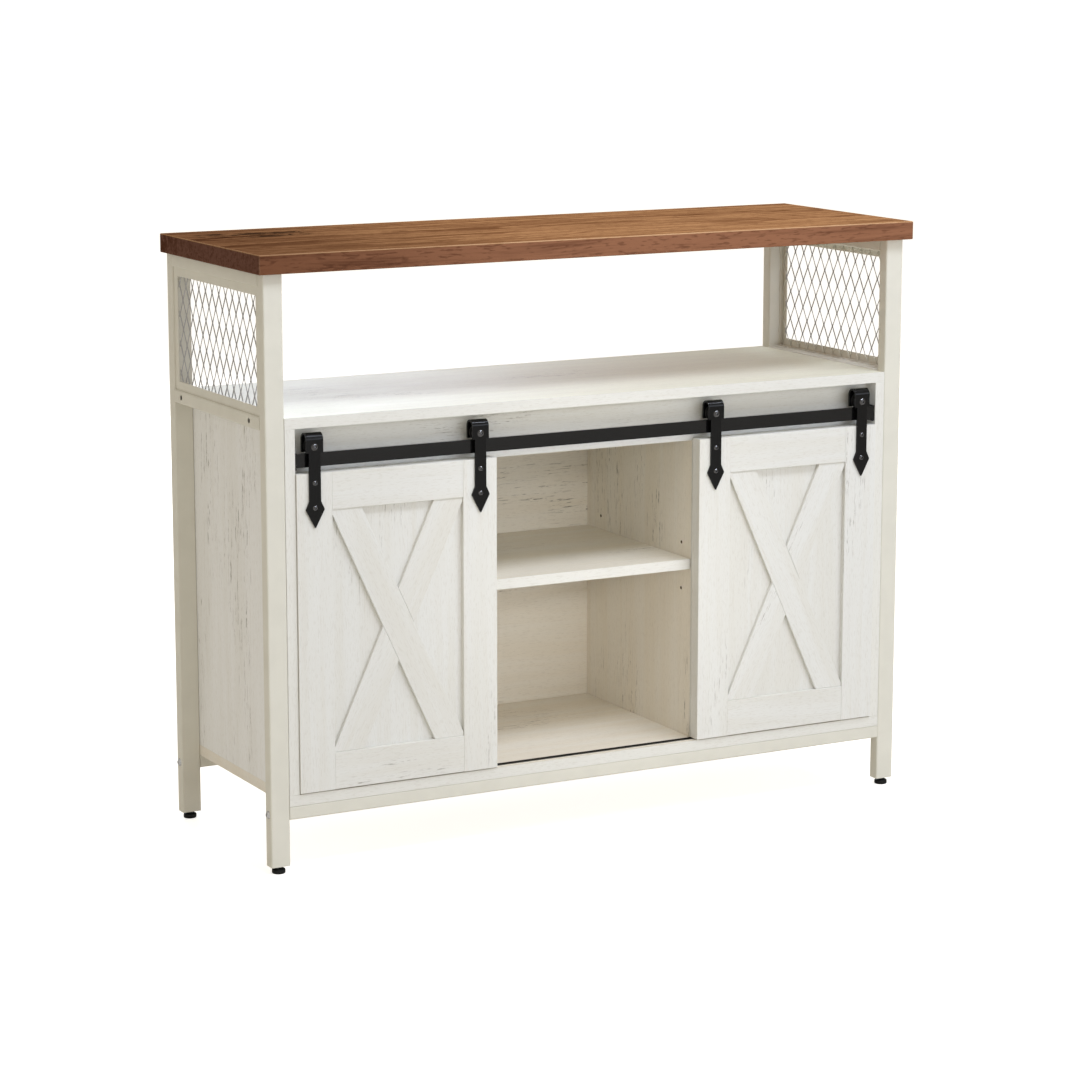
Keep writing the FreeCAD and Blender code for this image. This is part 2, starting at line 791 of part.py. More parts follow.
def export(nodes):
    """Write each node to its own STEP file as one shape that holds its solids."""
    os.makedirs("parts", exist_ok=True)
    for name, shapes in sorted(nodes.items()):
        shapes = shapes if isinstance(shapes, list) else [shapes]
        solids = [solid for shape in shapes for solid in shape.Solids]
        for solid in solids:
            if not solid.isValid() or solid.Volume <= 0:
                raise ValueError("bad solid in " + name)
        whole = solids[0] if len(solids) == 1 else Part.makeCompound(solids)
        whole.exportStep("parts/" + name + ".step")


export({**cabinet_nodes(), **door_nodes()})
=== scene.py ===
import json
import math
import random

import bmesh
import bpy
from mathutils import Matrix, Vector, noise

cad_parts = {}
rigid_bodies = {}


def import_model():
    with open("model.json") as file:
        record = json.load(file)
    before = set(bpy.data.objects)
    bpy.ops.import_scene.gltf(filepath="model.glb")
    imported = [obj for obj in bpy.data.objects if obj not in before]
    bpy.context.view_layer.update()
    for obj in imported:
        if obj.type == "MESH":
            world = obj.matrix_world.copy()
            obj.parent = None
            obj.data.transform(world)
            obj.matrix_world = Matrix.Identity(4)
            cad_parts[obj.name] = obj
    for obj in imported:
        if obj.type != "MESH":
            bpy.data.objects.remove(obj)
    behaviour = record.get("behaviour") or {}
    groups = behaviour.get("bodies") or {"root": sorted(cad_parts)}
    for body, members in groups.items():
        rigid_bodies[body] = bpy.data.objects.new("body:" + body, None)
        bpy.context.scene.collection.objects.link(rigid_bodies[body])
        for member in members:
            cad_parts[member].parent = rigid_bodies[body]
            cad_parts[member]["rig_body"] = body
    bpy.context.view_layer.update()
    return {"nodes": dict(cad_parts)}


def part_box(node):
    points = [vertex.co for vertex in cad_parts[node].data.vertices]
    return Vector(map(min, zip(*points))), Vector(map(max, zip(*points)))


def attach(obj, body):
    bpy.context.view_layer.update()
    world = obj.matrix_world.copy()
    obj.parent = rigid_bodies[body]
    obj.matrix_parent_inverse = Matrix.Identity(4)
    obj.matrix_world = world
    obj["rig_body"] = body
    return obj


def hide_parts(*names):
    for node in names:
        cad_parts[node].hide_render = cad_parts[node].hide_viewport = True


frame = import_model()

# Sideboard buffet. Metres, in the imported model's own frame: X along the width, the doors face -Y, Z up.
MM = 0.001
X, Y, Z = Vector((1, 0, 0)), Vector((0, 1, 0)), Vector((0, 0, 1))
SIDES = ("left", "right")

# ------------------------------------------------------------------ edges and seams
BOARD_EASE = 0.6 * MM
TRIM_EASE = 0.9 * MM
STEEL_EASE = 0.45 * MM
ARROW_TIP_EASE = 1.1 * MM
DOOR_RAIL_EASE = 0.35 * MM
CHANNEL_EASE = 0.3 * MM
BAND = 1.1 * MM
SEAM_HALF = 0.14 * MM
SEAM_DEEP = 0.16 * MM
FLAT_JOIN = math.radians(0.6)
SHARP = math.radians(32)
FLAT_NORMAL = 0.9999
RIM_LOW = 0.15
RIM_HIGH = 0.97
WELD = 0.01 * MM
SAME_SPOT = 1e-6
CUT_SNAP = 1e-7

# A board's finishes are face, band and core. The tabletop's are face, edge, end and rim; its end finish is
# darkened as painted shade, and its rim finish is a painted highlight.
BAND_SLOT, CORE_SLOT = 1, 2
END_SLOT, RIM_SLOT = 2, 3

# ------------------------------------------------------------------ expanded metal
STRAND_PITCH = 12.5 * MM
DIAMOND_LONG = 44.0 * MM
KNUCKLE = 2.0 * MM
STRAND_WIDE = 1.8 * MM
STRAND_THICK = 1.2 * MM
STRAND_LEAN = math.radians(24)
STRAND_STEPS = 20
STRAND_OVERLAP = 0.85
STRAND_SECTION = ((-0.5, -0.3), (-0.32, -0.5), (0.32, -0.5), (0.5, -0.3),
                  (0.5, 0.3), (0.32, 0.5), (-0.32, 0.5), (-0.5, 0.3))
MESH_SET_BACK = 0.6 * MM
RING_FACE = 13.0 * MM
TACK_DEEP, TACK_LONG, TACK_THIN = 1.5 * MM, 4.2 * MM, 1.4 * MM
TACK_PROUD = 0.4 * MM
TACK_SEED_STEP = 3.7
TACKS_LEVEL = (0.09, 0.36, 0.64, 0.91)
TACKS_UPRIGHT = (0.14, 0.50, 0.86)

# The hangers' steel is thicker than the first, and their arrow ends are further down than the second.
HANGER_THIN = 2.5 * MM
BEND_HIGH = 60 * MM

# ------------------------------------------------------------------ fasteners, wheels and feet
THREAD_PITCH = 1.25 * MM
THREAD_DEEP = 0.7 * MM
THREAD_RINGS = 6
DOME_STEPS = 8
CROSS_ARM = 0.28
RECESS_RIM = {"hex": 1.16, "cross": 1.05}
# Radius and rise of the head, recess, its radius and the shank's radius
STRAP_SCREW = (4.0 * MM, 2.2 * MM, "cross", 2.1 * MM, 2.0 * MM)
SMALL_SCREW = (3.5 * MM, 2.0 * MM, "cross", 1.9 * MM, 2.0 * MM)
FRAME_BOLT = (6.25 * MM, 3.6 * MM, "hex", 2.3 * MM, 3.0 * MM)
AXLE_BOLT = (5.5 * MM, 2.6 * MM, "hex", 1.9 * MM, 2.5 * MM)
NUT_THICK = 1.8
# Radius and height in millimetres, and outline
NUT_PROFILE = (
    (2.4, 0.0, "round"), (4.55, 0.0, "hex"), (4.75, 0.3, "hex"), (4.75, 1.5, "hex"),
    (4.35, NUT_THICK, "hex"), (3.2, NUT_THICK, "round"), (2.6, 1.2, "round"), (0.0, 1.2, "round"),
)
FOOT_PROFILE = (
    (0.0, 0.6, "round"), (6.5, 0.6, "round"), (7.2, 0.0, "round"), (8.6, 0.0, "round"),
    (9.4, 0.35, "round"), (9.85, 1.1, "round"), (10.0, 2.0, "round"), (10.0, 5.4, "round"),
    (9.8, 6.1, "round"), (9.2, 6.6, "round"), (6.9, 7.2, "round"), (5.75, 7.5, "hex"),
    (5.75, 10.4, "hex"), (5.4, 10.7, "hex"), (3.7, 10.7, "round"),
)
FOOT_HIGH = 10.7 * MM
STUD_RADIUS, STUD_END_RADIUS = 3.6 * MM, 3.1 * MM
WHEEL_SIDES = 64
WHEEL_BORE, WHEEL_HUB = 2.55 * MM, 4.2 * MM
TREAD_DEEP, RIM_WALL, DISH_DEEP = 2.3 * MM, 3.6 * MM, 1.1 * MM
GROOVE_HALF = 2.5 * MM

# ------------------------------------------------------------------ finishes, linear colour
HONEY = (0.320, 0.149, 0.065)
HONEY_LIGHT = (0.480, 0.245, 0.110)
HONEY_DARK = (0.135, 0.050, 0.019)
# Pale honey of the painted highlights on the tabletop's edges and rim
HONEY_HIGHLIGHT = (0.620, 0.380, 0.210)
WALNUT_EDGE = (0.300, 0.136, 0.074)
WALNUT_EDGE_DARK = (0.130, 0.052, 0.028)
# Darker brown of the end bands: painted shade, as on the shaded left end
WALNUT_PAINTED_SHADE_END = (0.255, 0.132, 0.098)
WALNUT_SPLIT = (0.030, 0.014, 0.008)
OLD_END = (0.50, 0.47, 0.49)
OLD_END_EDGE = (0.58, 0.54, 0.52)
WASH = (0.865, 0.862, 0.705)
WASH_SHADE = (0.835, 0.822, 0.680)
WASH_BAND = (0.800, 0.788, 0.735)
# Lighter, cooler copy of the whitewash for the side panels: painted light on the ends
WASH_PAINTED_LIGHT_SIDE = (0.910, 0.910, 0.895)
WASH_PAINTED_LIGHT_SIDE_FIGURE = (0.860, 0.855, 0.825)
# Darker copy of the whitewash for the doors and the header: painted shade, the header's for lying under the
# deck
WASH_PAINTED_SHADE_DOOR = (0.790, 0.785, 0.748)
WASH_PAINTED_SHADE_DOOR_FIGURE = (0.760, 0.745, 0.690)
# Warmer, brighter copy of the whitewash for the bays' bottom, shelves, partitions and back: painted light and
# warm shade inside the bays
WASH_PAINTED_BAY_LIGHT = (0.880, 0.835, 0.745)
WASH_PAINTED_BAY_LIGHT_FIGURE = (0.860, 0.800, 0.690)
WASH_SPLIT = (0.140, 0.105, 0.068)
WASH_FIBRE = (0.62, 0.57, 0.47)
WASH_PORE = (0.46, 0.41, 0.32)
# Pale white of the painted edge highlight on the boards
WASH_HIGHLIGHT = (0.90, 0.88, 0.82)
RAW_CORE = (0.085, 0.052, 0.030)
CREAM = (0.750, 0.728, 0.640)
# Pale cream of the painted edge highlight on the frame
CREAM_HIGHLIGHT = (0.86, 0.85, 0.76)
# Dark grey of the strands inside the window: painted shade of the backlit mesh
MESH_PAINTED_SHADE = (0.400, 0.395, 0.400)
BLACK_COAT = (0.0045, 0.0045, 0.0048)
# Lifted black of the painted edge highlight on the powder coat
BLACK_HIGHLIGHT = (0.030, 0.030, 0.032)
# Lighter black of the straps' edges: a stronger painted highlight
STRAP_HIGHLIGHT = (0.110, 0.110, 0.115)
BLACK_OXIDE = (0.130, 0.130, 0.136)
BLACK_NYLON = (0.008, 0.008, 0.008)
ZINC = (0.640, 0.650, 0.670)
BEECH = (0.620, 0.440, 0.250)

# ------------------------------------------------------------------ finishes, sizes in metres
DECOR_RELIEF = 0.00010
COAT_RELIEF = 0.00004
SMOOTH_RELIEF = 0.00001
PLATE_RELIEF = 0.00002
NYLON_RELIEF = 0.00003
BEECH_RELIEF = 0.00006
CORE_RELIEF = 0.00008
# Reach of the painted edge highlights on boards, the tabletop and powder coat
BOARD_HIGHLIGHT_REACH, TOP_HIGHLIGHT_REACH, COAT_HIGHLIGHT_REACH = 0.0009, 0.0022, 0.0008
PLANK_WIDE = 0.0925
UNBROKEN = 0.5
# The tabletop's split patch, along and across the top, and the reach of its darker end
PATCH_START, PATCH_END = (-0.54, -0.50), (-0.33, -0.38)
PATCH_MIDDLE, PATCH_FADE = 0.095, (0.055, 0.015)
DARK_REACH = (-0.62, 0.02)
# How thick the splits and knots are
NO_SPLITS, TOP_SPLITS, FEW_SPLITS, DOOR_SPLITS, MANY_SPLITS, PATCH_SPLITS = 0.0, 0.50, 0.62, 0.76, 1.05, 1.6


# ------------------------------------------------------------------ shader nodes
class Bench:
    """Adds nodes to one tree. A feed is a plain value or another node's socket."""

    def __init__(self, tree):
        self.tree = tree

    def add(self, kind, feeds, **settings):
        node = self.tree.nodes.new("ShaderNode" + kind)
        for label, value in settings.items():
            setattr(node, label, value)
        for label, feed in feeds.items():
            if isinstance(feed, bpy.types.NodeSocket):
                self.tree.links.new(feed, node.inputs[label])
            else:
                node.inputs[label].default_value = feed
        return node

    def math(self, operation, *feeds):
        return self.add("Math", dict(enumerate(feeds)), operation=operation).outputs[0]

    def times(self, place, factors):
        return self.add("VectorMath", {0: place, 1: factors}, operation="MULTIPLY").outputs[0]

    def plus(self, place, offset):
        return self.add("VectorMath", {0: place, 1: offset}, operation="ADD").outputs[0]

    def noise(self, place, scale=1.0, detail=2.0, roughness=0.5, warp=0.0, output="Fac"):
        feeds = {"Vector": place, "Scale": scale, "Detail": detail}
        feeds.update({"Roughness": roughness, "Distortion": warp})
        return self.add("TexNoise", feeds).outputs[output]

    def span(self, value, low, high, to_low=0.0, to_high=1.0):
        feeds = {"Value": value, "From Min": low, "From Max": high, "To Min": to_low, "To Max": to_high}
        return self.add("MapRange", feeds, interpolation_type="SMOOTHSTEP").outputs["Result"]

    def mix(self, amount, first, second, blend="MIX"):
        feeds = {"Factor": amount}
        node = self.add("Mix", feeds, data_type="RGBA", blend_type=blend)
        for label, feed in ((6, first), (7, second)):
            if isinstance(feed, bpy.types.NodeSocket):
                self.tree.links.new(feed, node.inputs[label])
            else:
                node.inputs[label].default_value = (*feed, 1.0)
        return node.outputs[2]

    def group(self, effect, **feeds):
        node = self.add("Group", {}, node_tree=effect)
        for label, feed in feeds.items():
            if isinstance(feed, bpy.types.NodeSocket):
                self.tree.links.new(feed, node.inputs[label])
            else:
                node.inputs[label].default_value = feed
        return node.outputs


def shared_effect(name, inputs, outputs):
    """A node group with named sockets, and the bench, inputs and outputs to fill it with."""
    tree = bpy.data.node_groups.new(name, "ShaderNodeTree")
    for label, kind, value in inputs:
        socket = tree.interface.new_socket(label, in_out="INPUT", socket_type="NodeSocket" + kind)
        if value is not None:
            socket.default_value = value
    for label, kind in outputs:
        tree.interface.new_socket(label, in_out="OUTPUT", socket_type="NodeSocket" + kind)
    given = tree.nodes.new("NodeGroupInput").outputs
    wanted = tree.nodes.new("NodeGroupOutput").inputs
    return tree, Bench(tree), given, wanted


def wood_fibre():
    """Fibres, broad figure and open pores of a printed wood decor, running along the first axis."""
    tree, bench, given, wanted = shared_effect(
        "wood_fibre",
        [("Place", "Vector", None), ("Fineness", "Float", 1.0)],
        [("Fibre", "Float"), ("Figure", "Float"), ("Pores", "Float")],
    )
    wander = bench.noise(bench.times(given["Place"], (3.0, 9.0, 9.0)), detail=1.0, output="Color")
    drift = bench.times(bench.plus(wander, (-0.5, -0.5, -0.5)), (0.0, 0.016, 0.016))
    place = bench.plus(given["Place"], drift)
    fine = given["Fineness"]
    fibre = bench.noise(bench.times(place, (8.0, 300.0, 300.0)), fine, detail=4.0, roughness=0.68)
    figure = bench.noise(bench.times(place, (1.7, 30.0, 30.0)), fine, detail=3.0, roughness=0.55, warp=0.5)
    pores = bench.noise(bench.times(place, (110.0, 620.0, 620.0)), fine, detail=2.0)
    tree.links.new(fibre, wanted["Fibre"])
    tree.links.new(figure, wanted["Figure"])
    tree.links.new(bench.span(pores, 0.54, 0.66), wanted["Pores"])
    return tree


def splits_and_knots():
    """Thin dry splits gathered in patches, and a few small knots, along the first axis."""
    tree, bench, given, wanted = shared_effect(
        "splits_and_knots",
        [("Place", "Vector", None), ("Amount", "Float", 0.5)],
        [("Splits", "Float"), ("Knots", "Float")],
    )
    place = given["Place"]
    patch = bench.noise(bench.times(place, (3.1, 10.0, 10.0)), detail=1.0)
    least = bench.math("SUBTRACT", 0.78, bench.math("MULTIPLY", given["Amount"], 0.26))
    patch = bench.span(bench.math("SUBTRACT", patch, least), 0.0, 0.10)
    hair = bench.noise(bench.times(place, (16.0, 300.0, 300.0)), detail=5.0, roughness=0.72, warp=0.4)
    hair = bench.span(hair, 0.55, 0.64)
    broken = bench.span(bench.noise(bench.times(place, (90.0, 420.0, 420.0)), detail=2.0), 0.40, 0.58)
    splits = bench.math("MULTIPLY", bench.math("MULTIPLY", patch, hair), broken)
    swirl = bench.noise(bench.times(place, (30.0, 60.0, 60.0)), detail=3.0, output="Color")
    bent = bench.plus(bench.times(place, (3.4, 7.5, 7.5)), bench.times(swirl, (0.10, 0.16, 0.16)))
    cells = bench.add("TexVoronoi", {"Vector": bent, "Scale": 1.0})
    rare = bench.span(bench.noise(cells.outputs["Position"], 9.0, detail=0.0), 0.54, 0.58)
    ring = bench.math("ABSOLUTE", bench.math("SUBTRACT", cells.outputs["Distance"], 0.055))
    ring = bench.span(ring, 0.004, 0.022, 1.0, 0.0)
    heart = bench.span(cells.outputs["Distance"], 0.012, 0.030, 1.0, 0.0)
    knot = bench.math("MULTIPLY", bench.math("MAXIMUM", ring, heart), rare)
    knot = bench.math("MULTIPLY", knot, bench.span(broken, 0.1, 0.9, 0.25, 1.0))
    tree.links.new(splits, wanted["Splits"])
    tree.links.new(knot, wanted["Knots"])
    return tree


def powder_grit():
    """Fine orange peel of a baked powder coat."""
    tree, bench, given, wanted = shared_effect(
        "powder_grit",
        [("Place", "Vector", None), ("Coarse", "Float", 1.0)],
        [("Height", "Float"), ("Haze", "Float")],
    )
    peel = bench.noise(bench.times(given["Place"], (900.0, 900.0, 900.0)), given["Coarse"], detail=2.0)
    haze = bench.noise(bench.times(given["Place"], (24.0, 24.0, 24.0)), detail=3.0)
    tree.links.new(peel, wanted["Height"])
    tree.links.new(haze, wanted["Haze"])
    return tree


def painted_edge_highlight():
    """A mask that is 1 along hard edges, where the finish is lightened as a painted highlight."""
    tree, bench, given, wanted = shared_effect(
        "painted_edge_highlight", [("Place", "Vector", None), ("Reach", "Float", 0.001)], [("Mask", "Float")]
    )
    rounded = bench.add("Bevel", {"Radius": given["Reach"]}, samples=4).outputs["Normal"]
    plain = bench.add("NewGeometry", {}).outputs["Normal"]
    same = bench.add("VectorMath", {0: rounded, 1: plain}, operation="DOT_PRODUCT").outputs["Value"]
    patchy = bench.noise(bench.times(given["Place"], (70.0, 70.0, 70.0)), detail=2.0)
    patchy = bench.span(patchy, 0.35, 0.65, 0.5, 1.0)
    mask = bench.math("MULTIPLY", bench.span(same, 0.80, 0.985, 1.0, 0.0), patchy)
    tree.links.new(mask, wanted["Mask"])
    return tree


FIBRE = wood_fibre()
SPLITS = splits_and_knots()
GRIT = powder_grit()
EDGE_HIGHLIGHT = painted_edge_highlight()


def new_finish(name, shine=0.5):
    """A material with its shader, the bench to feed it from, and the piece's own coordinates."""
    material = bpy.data.materials.new(name)
    material.use_nodes = True
    bench = Bench(material.node_tree)
    shader = material.node_tree.nodes["Principled BSDF"]
    shader.inputs["Specular IOR Level"].default_value = shine
    place = bench.add("TexCoord", {}).outputs["Object"]
    return material, bench, shader, place


def feed(bench, shader, colour, rough, height, deep):
    """Links colour, roughness and the relief of a finish to its shader."""
    bench.tree.links.new(colour, shader.inputs["Base Color"])
    bench.tree.links.new(rough, shader.inputs["Roughness"])
    relief = bench.add("Bump", {"Strength": 1.0, "Distance": deep, "Height": height})
    bench.tree.links.new(relief.outputs["Normal"], shader.inputs["Normal"])


def whitewash(name, light, shade, splits, depth=0.80):
    """Matt whitewashed plank decor: pale fibres, grey splits and a rare knot."""
    material, bench, shader, place = new_finish(name, 0.30)
    grain = bench.group(FIBRE, Place=place, Fineness=1.0)
    marks = bench.group(SPLITS, Place=place, Amount=splits)
    highlight_mask = bench.group(EDGE_HIGHLIGHT, Place=place, Reach=BOARD_HIGHLIGHT_REACH)["Mask"]
    colour = bench.mix(bench.span(grain["Figure"], 0.34, 0.68), light, shade)
    colour = bench.mix(bench.span(grain["Fibre"], 0.50, 0.80, 0.0, 0.22), colour, WASH_FIBRE)
    colour = bench.mix(bench.math("MULTIPLY", grain["Pores"], 0.14), colour, WASH_PORE)
    dark = bench.math("MAXIMUM", marks["Splits"], marks["Knots"])
    dark = bench.math("MULTIPLY", dark, depth)
    colour = bench.mix(dark, colour, WASH_SPLIT)
    # Painted highlight: hard edges lightened towards a pale white.
    colour = bench.mix(bench.math("MULTIPLY", highlight_mask, 0.35), colour, WASH_HIGHLIGHT)
    rough = bench.span(grain["Fibre"], 0.2, 0.8, 0.46, 0.60)
    height = bench.math("SUBTRACT", grain["Fibre"], bench.math("MULTIPLY", dark, 2.0))
    feed(bench, shader, colour, rough, height, DECOR_RELIEF)
    return material


def walnut(name, light, mid, dark, planks, splits, fineness=0.45, old=OLD_END_EDGE):
    """Brown plank decor with open pores and one darker end, with a patch of splits there if it has any."""
    material, bench, shader, place = new_finish(name, 0.0)
    grain = bench.group(FIBRE, Place=place, Fineness=fineness)
    along, across = (bench.add("SeparateXYZ", {0: place}).outputs[axis] for axis in ("X", "Y"))
    patch = bench.math("MULTIPLY", bench.span(along, *PATCH_START), bench.span(along, *PATCH_END))
    off_middle = bench.math("ABSOLUTE", bench.math("SUBTRACT", across, PATCH_MIDDLE))
    patch = bench.math("MULTIPLY", patch, bench.span(off_middle, *PATCH_FADE))
    most = PATCH_SPLITS if splits else NO_SPLITS
    marks = bench.group(SPLITS, Place=place, Amount=bench.span(patch, 0.0, 1.0, splits, most))
    highlight_mask = bench.group(EDGE_HIGHLIGHT, Place=place, Reach=TOP_HIGHLIGHT_REACH)["Mask"]
    plank = bench.math("FLOOR", bench.math("DIVIDE", across, planks))
    tone = bench.add("TexWhiteNoise", {"W": plank}, noise_dimensions="1D").outputs["Value"]
    stagger = bench.add("CombineXYZ", {0: tone, 1: tone}).outputs[0]
    shifted = bench.plus(place, bench.times(stagger, (3.0, 0.4, 0.0)))
    sweep = bench.noise(bench.times(shifted, (1.1, 13.0, 13.0)), detail=4.0, roughness=0.6, warp=1.1)
    bands = bench.math("SINE", bench.math("MULTIPLY", sweep, 46.0))
    bands = bench.span(bands, -1.0, 1.0)
    body = bench.math("MULTIPLY", grain["Figure"], 0.60)
    body = bench.math("ADD", body, bench.math("MULTIPLY", bands, 0.36))
    body = bench.math("ADD", body, bench.math("MULTIPLY", bench.math("SUBTRACT", tone, 0.5), 0.22))
    colour = bench.mix(bench.span(body, 0.30, 0.60), light, mid)
    colour = bench.mix(bench.span(body, 0.52, 0.80, 0.0, 0.85), colour, dark)
    colour = bench.mix(bench.span(grain["Fibre"], 0.46, 0.70, 0.0, 0.75), colour, dark)
    colour = bench.mix(bench.math("MULTIPLY", grain["Pores"], 0.60), colour, dark)
    black = bench.math("MAXIMUM", marks["Splits"], marks["Knots"])
    if splits:
        blotch = bench.noise(bench.times(place, (20.0, 62.0, 62.0)), detail=5.0, roughness=0.72, warp=0.6)
        blotch = bench.math("MULTIPLY", bench.span(blotch, 0.475, 0.545), bench.span(patch, 0.15, 0.55))
        black = bench.math("MAXIMUM", black, blotch)
    colour = bench.mix(bench.math("MULTIPLY", black, 0.84), colour, WALNUT_SPLIT)
    colour = bench.mix(bench.span(along, *DARK_REACH, 1.0, 0.0), colour, old, blend="MULTIPLY")
    # Painted highlight: hard edges lightened towards a pale honey.
    colour = bench.mix(bench.math("MULTIPLY", highlight_mask, 0.60), colour, HONEY_HIGHLIGHT)
    rough = bench.span(grain["Fibre"], 0.2, 0.8, 0.48, 0.64)
    height = bench.math("SUBTRACT", bench.math("MULTIPLY", grain["Pores"], -0.8), black)
    feed(bench, shader, colour, rough, height, DECOR_RELIEF)
    return material


def powder_coat(name, colour, highlight_colour, shine, rough_low, rough_high, coarse, deep):
    """Baked powder coat on steel, lightened along its edges as a painted highlight."""
    material, bench, shader, place = new_finish(name, shine)
    grit = bench.group(GRIT, Place=place, Coarse=coarse)
    highlight_mask = bench.group(EDGE_HIGHLIGHT, Place=place, Reach=COAT_HIGHLIGHT_REACH)["Mask"]
    tint = bench.mix(bench.span(grit["Haze"], 0.35, 0.70, 0.0, 0.5), colour, tuple(0.93 * c for c in colour))
    # Painted highlight: hard edges lightened towards the highlight colour.
    tint = bench.mix(bench.math("MULTIPLY", highlight_mask, 0.5), tint, highlight_colour)
    rough = bench.span(grit["Haze"], 0.3, 0.7, rough_low, rough_high)
    feed(bench, shader, tint, rough, grit["Height"], deep)
    return material


def plated_steel(name, colour, rough_low, rough_high):
    """Plated or blackened screws and bolts, with a faint mottle."""
    material, bench, shader, place = new_finish(name)
    shader.inputs["Metallic"].default_value = 1.0
    grit = bench.group(GRIT, Place=place, Coarse=0.7)
    tint = bench.mix(bench.span(grit["Haze"], 0.3, 0.7), colour, tuple(0.85 * c for c in colour))
    rough = bench.span(grit["Height"], 0.3, 0.7, rough_low, rough_high)
    feed(bench, shader, tint, rough, grit["Height"], PLATE_RELIEF)
    return material


def moulded_nylon(name):
    """Black moulded plastic with a fine spark texture."""
    material, bench, shader, place = new_finish(name, 0.18)
    grit = bench.group(GRIT, Place=place, Coarse=1.6)
    tint = bench.mix(bench.span(grit["Haze"], 0.3, 0.7), BLACK_NYLON, tuple(1.7 * c for c in BLACK_NYLON))
    rough = bench.span(grit["Height"], 0.3, 0.7, 0.42, 0.56)
    feed(bench, shader, tint, rough, grit["Height"], NYLON_RELIEF)
    return material


def plain_beech(name):
    """Turned beech of the dowels."""
    material, bench, shader, place = new_finish(name)
    grain = bench.group(FIBRE, Place=place, Fineness=1.2)
    tint = bench.mix(bench.span(grain["Fibre"], 0.3, 0.7), BEECH, tuple(0.8 * c for c in BEECH))
    rough = bench.span(grain["Figure"], 0.3, 0.7, 0.55, 0.70)
    feed(bench, shader, tint, rough, grain["Fibre"], BEECH_RELIEF)
    return material


def pressed_core(name):
    """Raw pressed chips, bared where a board is drilled."""
    material, bench, shader, place = new_finish(name, 0.2)
    chips = bench.noise(bench.times(place, (420.0, 900.0, 900.0)), detail=4.0, roughness=0.7)
    tint = bench.mix(bench.span(chips, 0.40, 0.72), RAW_CORE, tuple(1.8 * c for c in RAW_CORE))
    rough = bench.span(chips, 0.3, 0.7, 0.70, 0.85)
    feed(bench, shader, tint, rough, chips, CORE_RELIEF)
    return material


FINISHES = {
    "top_face": walnut("plank_top", HONEY_LIGHT, HONEY, HONEY_DARK, PLANK_WIDE, TOP_SPLITS, 0.60, OLD_END),
    "top_edge": walnut("plank_top_edge", WALNUT_EDGE, WALNUT_EDGE, WALNUT_EDGE_DARK, UNBROKEN, NO_SPLITS),
    # The end finish is darkened as painted shade.
    "top_painted_shade_end": walnut("plank_top_painted_shade_end", WALNUT_PAINTED_SHADE_END, WALNUT_PAINTED_SHADE_END, WALNUT_EDGE_DARK, UNBROKEN, NO_SPLITS),
    # The rim finish is a painted highlight along the top's rounded edges.
    "top_painted_highlight_rim": walnut("plank_top_painted_highlight_rim", HONEY_HIGHLIGHT, HONEY_HIGHLIGHT, HONEY_LIGHT, UNBROKEN, NO_SPLITS),
    "wash": whitewash("whitewash_board", WASH, WASH_SHADE, FEW_SPLITS),
    # The bay copies are brightened and warmed as painted light and warm shade inside the bays; the back and
    # partitions also have many splits.
    "wash_split_painted_bay_light": whitewash("whitewash_split_painted_bay_light", WASH_PAINTED_BAY_LIGHT, WASH_PAINTED_BAY_LIGHT_FIGURE, MANY_SPLITS),
    # The side panels' copy is brightened as painted light.
    "wash_painted_light_side": whitewash("whitewash_painted_light_side", WASH_PAINTED_LIGHT_SIDE, WASH_PAINTED_LIGHT_SIDE_FIGURE, MANY_SPLITS),
    "wash_painted_bay_light": whitewash("whitewash_painted_bay_light", WASH_PAINTED_BAY_LIGHT, WASH_PAINTED_BAY_LIGHT_FIGURE, FEW_SPLITS),
    # The door copy is darkened as painted shade.
    "wash_painted_shade_door": whitewash("whitewash_painted_shade_door", WASH_PAINTED_SHADE_DOOR, WASH_PAINTED_SHADE_DOOR_FIGURE, DOOR_SPLITS, 0.60),
    "wash_band": whitewash("whitewash_band", WASH_BAND, tuple(0.98 * c for c in WASH_BAND), NO_SPLITS, 0.0),
    "cream": powder_coat("cream_powder_coat", CREAM, CREAM_HIGHLIGHT, 0.32, 0.40, 0.52, 1.0, COAT_RELIEF),
    # The strands inside the window are darkened as painted shade.
    "mesh": powder_coat("mesh_painted_shade_coat", MESH_PAINTED_SHADE, CREAM, 0.20, 0.45, 0.56, 1.0, COAT_RELIEF),
    "black": powder_coat("black_powder_coat", BLACK_COAT, BLACK_HIGHLIGHT, 0.33, 0.12, 0.19, 1.3, SMOOTH_RELIEF),
    # The straps carry a stronger painted edge highlight than the rest of the black.
    "strap": powder_coat("strap_powder_coat", BLACK_COAT, STRAP_HIGHLIGHT, 0.20, 0.14, 0.20, 1.3, SMOOTH_RELIEF),
    "zinc": plated_steel("zinc_plate", ZINC, 0.24, 0.38),
    "oxide": plated_steel("black_oxide", BLACK_OXIDE, 0.10, 0.18),
    "nylon": moulded_nylon("moulded_nylon"),
    "beech": plain_beech("plain_beech"),
    "core": pressed_core("pressed_core"),
}


# ------------------------------------------------------------------ mesh work
def piece_from(bm, name, finishes, place=Matrix.Identity(4)):
    """Turns mesh work into an object that stands at a place, with its finishes in slot order."""
    bmesh.ops.recalc_face_normals(bm, faces=bm.faces)
    mesh = bpy.data.meshes.new(name)
    bm.transform(place.inverted())
    bm.to_mesh(mesh)
    bm.free()
    for finish in finishes:
        mesh.materials.append(FINISHES[finish])
    mesh.shade_smooth()
    mesh.set_sharp_from_angle(angle=SHARP)
    piece = bpy.data.objects.new(name, mesh)
    bpy.context.scene.collection.objects.link(piece)
    piece.matrix_world = place
    return piece


